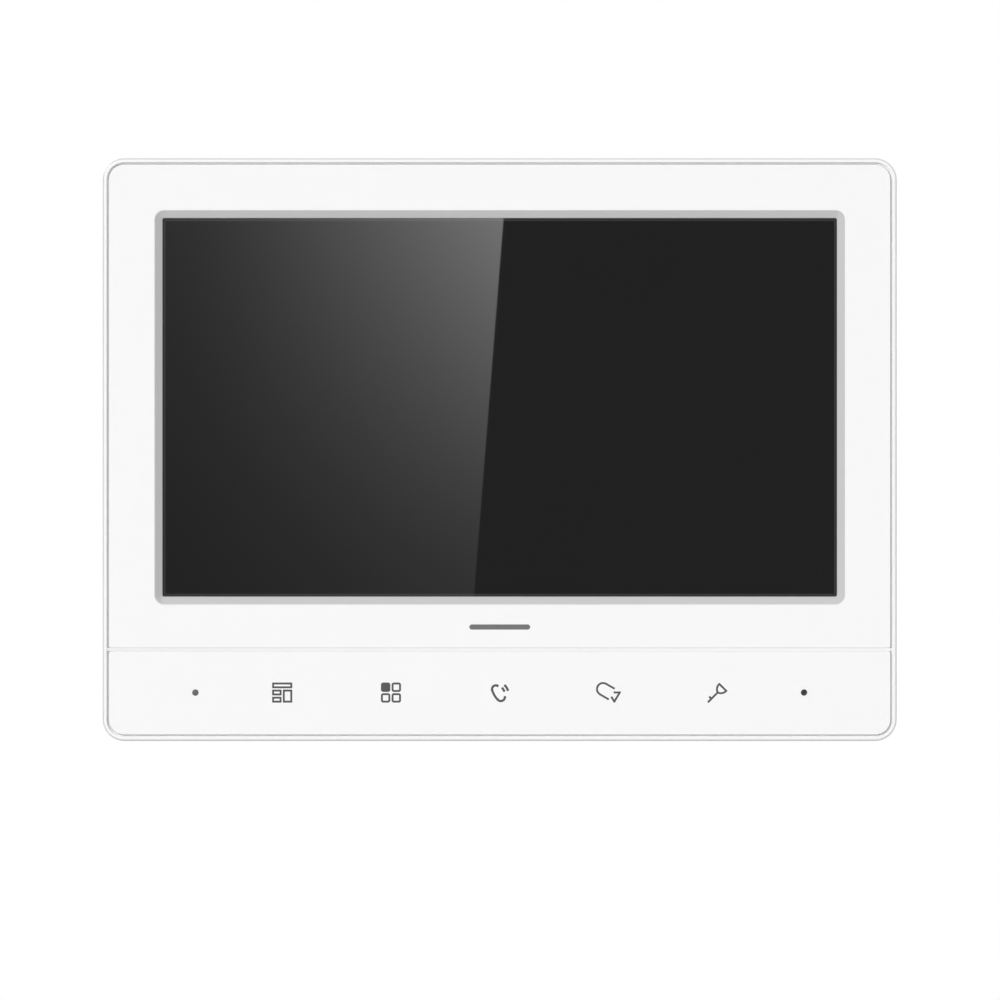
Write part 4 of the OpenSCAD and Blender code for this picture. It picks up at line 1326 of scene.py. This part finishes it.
@dataclass
class Fasteners(Assembly):
    """Every screw of the monitor."""

    copies: TreeMaker
    sets: ClassVar[tuple[ScrewSet, ...]] = (
        ScrewSet("housing_screws", *CASE_SCREW, Turn.TO_WALL, (0, 1), (0,)),
        ScrewSet("board_screws", *SMALL_SCREW, Turn.TO_FRONT, (0, 1), (0, 1)),
        ScrewSet("lcd_screws", *SMALL_SCREW, Turn.TO_WALL, (0, 1), (0, 1)),
        ScrewSet("key_board_screws", *SMALL_SCREW, Turn.TO_WALL, (0, 0.4, 0.6, 1), (0,)),
        ScrewSet("speaker_screws", *SMALL_SCREW, Turn.TO_FRONT, (0,), (0, 1)),
    )
    head_curve: ClassVar[tuple[tuple[float, float], ...]] = (
        (0.02, 0.0), (0.35, 0.02), (0.7, 0.12), (0.92, 0.275), (1.0, 0.55), (1.0, 0.9), (0.94, 1.0)
    )
    flats: int = 24
    root_share: float = 0.85
    tip_share: float = 0.4
    pitch: float = 0.8 * MM
    crest_at: float = 0.35
    lead_in: float = 0.3 * MM
    plain_end: float = 1 * MM
    tip: float = 0.6 * MM
    recess_w: float = 1.15
    recess_t: float = 0.28
    recess_depth: float = 0.7
    recess_taper: float = 0.55
    recess_rise: float = 0.2 * MM

    def build(self) -> None:
        """Build each set from one screw."""
        for kind in self.sets:
            name = kind.node + "_set"
            screw = self.screw(kind)
            made = copies(name, self.copies, kind.places(), screw, SCREW_STEEL, math.tau)
            self.settle(made, SCREW_STEEL, "screw_steel", kind.node)

    def screw(self, kind: ScrewSet) -> bpy.types.Object:
        """One pan-head screw with a cross recess and a threaded shank.

        Args:
            kind: The set that the screw belongs to.

        Returns:
            The screw, with its head at the origin.
        """
        radius = kind.head / 2
        crest = kind.shank / 2
        root = crest * self.root_share
        length = box_size(kind.node).y
        profile = [(radius * across, kind.head_t * down) for across, down in self.head_curve]
        profile += [(root, kind.head_t)]
        turns = int((length - kind.head_t - self.plain_end) / self.pitch)
        for i in range(turns):
            start = kind.head_t + self.lead_in + i * self.pitch
            flank = self.pitch * self.crest_at
            profile += [(root, start), (crest, start + flank), (root, start + 2 * flank)]
        profile += [(root, length - self.tip), (crest * self.tip_share, length)]
        made = lathe("screw", profile, Vector((0, 0, 0)), self.flats)
        depth = kind.head_t * self.recess_depth
        for angle in (0.0, math.pi / 2):
            blade = bmesh.new()
            bmesh.ops.create_cube(blade, size=1.0)
            for vert in blade.verts:
                outer = vert.co.y > 0
                half = radius * (1.0 if outer else self.recess_taper)
                across = vert.co.x * half * self.recess_w
                rise = self.recess_rise if outer else -depth
                vert.co = Vector((across, rise, vert.co.z * half * self.recess_t))
            blade.transform(Matrix.Rotation(angle, 4, "Y"))
            bmesh.ops.recalc_face_normals(blade, faces=blade.faces)
            cut_away(made, object_of("blade", blade))
        made.data.transform(Matrix.Rotation(kind.turn.value, 4, "X"))
        return made


@dataclass
class CableSockets(Assembly):
    """Four cable sockets and their pins."""

    copies: TreeMaker
    pitch: float = 2.5 * MM
    pin: float = 0.64 * MM
    tip: float = 0.3 * MM
    edge: float = 0.12 * MM
    counts: ClassVar[tuple[tuple[str, int], ...]] = (
        ("door_socket_1", 4), ("door_socket_2", 4), ("indoor_socket", 4), ("power_socket", 2)
    )

    def build(self) -> None:
        """Build the shrouds with softened edges, and the pins."""
        for node, _ in self.counts:
            red = node == "power_socket"
            finish, slot = (RED_NYLON, "socket_red") if red else (IVORY_NYLON, "socket_ivory")
            self.settle(softened(node + "_shroud", node, self.edge), finish, slot, node)
        self.settle(self.pins(), PIN_GOLD, "pin_brass", "socket_pins")

    def pins(self) -> bpy.types.Object:
        """Square pins with pointed tips, one on each contact.

        Returns:
            All the pins as one object.
        """
        low, high = reach("socket_pins")
        half = self.pin / 2
        taper = [(half / 2, low), (half, low + self.tip), (half, high - self.tip), (half / 2, high)]
        corners = [(-1, -1), (1, -1), (1, 1), (-1, 1)]
        rings = [[Vector((x * r, -out, z * r)) for x, z in corners] for r, out in taper]
        points = []
        for node, count in self.counts:
            middle = box_centre(node)
            steps = [i - (count - 1) / 2 for i in range(count)]
            points += [Vector((middle.x + step * self.pitch, 0.0, middle.z)) for step in steps]
        return copies("contact_pins", self.copies, points, loft("pin", rings, False), PIN_GOLD)


# Studio ------------------------------------------------------------------------------------


@dataclass(frozen=True)
class Sun:
    """A soft distant light."""

    name: str
    strength: float
    toward: tuple[float, float, float]
    softness: float

    def hang(self) -> None:
        """Put the light into the scene, shining along its direction."""
        data = bpy.data.lights.new(self.name, "SUN")
        data.energy = self.strength
        data.angle = math.radians(self.softness)
        lamp = placed(self.name, data)
        lamp.rotation_mode = "QUATERNION"
        lamp.rotation_quaternion = Vector(self.toward).to_track_quat("-Z", "Y")


@dataclass
class Studio:
    """Camera, lights, floor and the soft light card that the window mirrors."""

    lens: float = 400.0
    sensor: float = 36.0
    view_w: float = 230.3 * MM
    drop: float = 11.6 * MM
    aside: float = 0.06 * MM
    ambient: float = 0.17
    mirrored: float = 0.30
    floor_z: float = -0.6
    floor_radius: float = 7.0
    suns: ClassVar[tuple[Sun, ...]] = (
        Sun("key_light", 2.02, (0.40, 1.0, -0.34), 16.0),
        Sun("fill_light", 0.28, (-0.50, 1.0, -0.10), 24.0),
        Sun("top_light", 0.6, (0.0, 0.05, -1.0), 30.0),
        Sun("rear_light_left", 0.5, (0.7, -1.0, -0.5), 24.0),
        Sun("rear_light_right", 0.9, (-1.0, -0.35, -0.3), 24.0),
    )
    sight: float = 20.0
    card_out: float = 0.55
    card_half_h: float = 44 * MM
    card_left: float = -80 * MM
    card_right: tuple[float, float] = (-6.0 * MM, 0.9 * MM)
    card_glow: float = 3.7
    fall_across: tuple[float, float] = (1.65, 0.92)
    fall_along: tuple[float, float] = (1.5, 0.88)

    @property
    def distance(self) -> float:
        """How far the camera stands from the face."""
        return self.view_w * self.lens / self.sensor

    def build(self) -> None:
        """Build the whole studio."""
        scene = bpy.context.scene
        scene.view_settings.view_transform = "Standard"
        self.camera()
        self.world()
        self.floor()
        self.card()
        for sun in self.suns:
            sun.hang()

    def camera(self) -> None:
        """A long lens square to the front."""
        data = bpy.data.cameras.new("camera")
        data.lens = self.lens
        data.sensor_width = self.sensor
        data.clip_end = self.sight
        camera = placed("camera", data)
        camera.location = (self.aside, -reach("front_frame")[1] - self.distance, -self.drop)
        camera.rotation_euler = (math.pi / 2, 0.0, 0.0)
        bpy.context.scene.camera = camera

    def world(self) -> None:
        """White surroundings for the eye, and a dimmer grey room for the light."""
        world = bpy.data.worlds.new("studio")
        world.use_nodes = True
        bpy.context.scene.world = world
        graph = Graph(world.node_tree)
        world.node_tree.nodes.clear()
        path = graph.node("ShaderNodeLightPath")
        greys = [(level,) * 3 for level in (self.ambient, self.mirrored)]
        room = graph.blend(path.outputs["Is Glossy Ray"], *greys)
        colour = graph.blend(path.outputs["Is Camera Ray"], room, (1.0, 1.0, 1.0))
        glow = graph.node("ShaderNodeBackground", None, {"Color": colour})
        graph.node("ShaderNodeOutputWorld", None, {0: glow.outputs[0]})

    def floor(self) -> None:
        """A round pale floor well below the monitor."""
        shape = bmesh.new()
        bmesh.ops.create_circle(shape, cap_ends=True, segments=96, radius=self.floor_radius)
        shape.transform(Matrix.Translation((0.0, 0.0, self.floor_z)))
        floor = object_of("floor", shape)
        floor.data.materials.append(PALE_FLOOR.material())

    def card(self) -> None:
        """A slanted light card, brightest at its upper right, that only gloss shows."""
        grow = 1.0 + self.card_out / self.distance
        out = reach("screen_window")[1] + self.card_out
        middle = box_centre("screen_window").z + self.drop
        low, high = ((middle + s * self.card_half_h) * grow - self.drop for s in (-1, 1))
        left = self.card_left * grow
        right_low, right_high = (x * grow for x in self.card_right)
        shape = bmesh.new()
        corners = [(left, low), (right_low, low), (right_high, high), (left, high)]
        shape.faces.new([shape.verts.new((x, -out, z)) for x, z in corners])
        card = object_of("light_card", shape)
        card.data.materials.append(self.glow(left, low, high))
        card.visible_camera = False
        card.visible_diffuse = False
        card.visible_shadow = False

    def glow(self, left: float, low: float, high: float) -> bpy.types.Material:
        """The light card's glow, which falls off to the left and downwards.

        Args:
            left: The card's left edge.
            low: Its lower edge.
            high: Its upper edge.

        Returns:
            The material.
        """
        made = bpy.data.materials.new("card_glow")
        made.use_nodes = True
        graph = Graph(made.node_tree)
        made.node_tree.nodes.clear()
        x, _, up = graph.axes()
        across = (x * (-1.0 / left) + 1.0).most(0.0)
        along = ((up - low) * (1.0 / (high - low))).most(0.0)
        streak = self.fall(across, *self.fall_across) * self.fall(along, *self.fall_along)
        levels = [(level,) * 3 for level in (self.mirrored, self.mirrored + self.card_glow)]
        glow = graph.node("ShaderNodeEmission", None, {"Color": graph.blend(streak, *levels)})
        graph.node("ShaderNodeOutputMaterial", None, {0: glow.outputs[0]})
        return made

    @staticmethod
    def fall(share: Number, power: float, part: float) -> Number:
        """A curve from near zero to one, of which a part follows a power."""
        return share.power(power) * part + (1.0 - part)


def dress_carried_over(nodes: dict[str, bpy.types.Object]) -> None:
    """Give every node that stays as it is its own finish."""
    for name, finish in CARRIED_OVER.items():
        dress(nodes[name], finish)


def main() -> None:
    """Build the monitor and its studio."""
    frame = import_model()
    Studio().build()
    rings = ring_tree()
    spread = copies_tree()
    shells = [Front(rings), Screen(), KeyRow(), Rear(), WallPlate()]
    for assembly in [*shells, Fasteners(spread), CableSockets(spread)]:
        LOG.info("building %s", type(assembly).__name__)
        assembly.build()
    dress_carried_over(frame["nodes"])


if __name__ == "__main__":
    logging.basicConfig(level=logging.INFO, format="%(message)s")
    main()
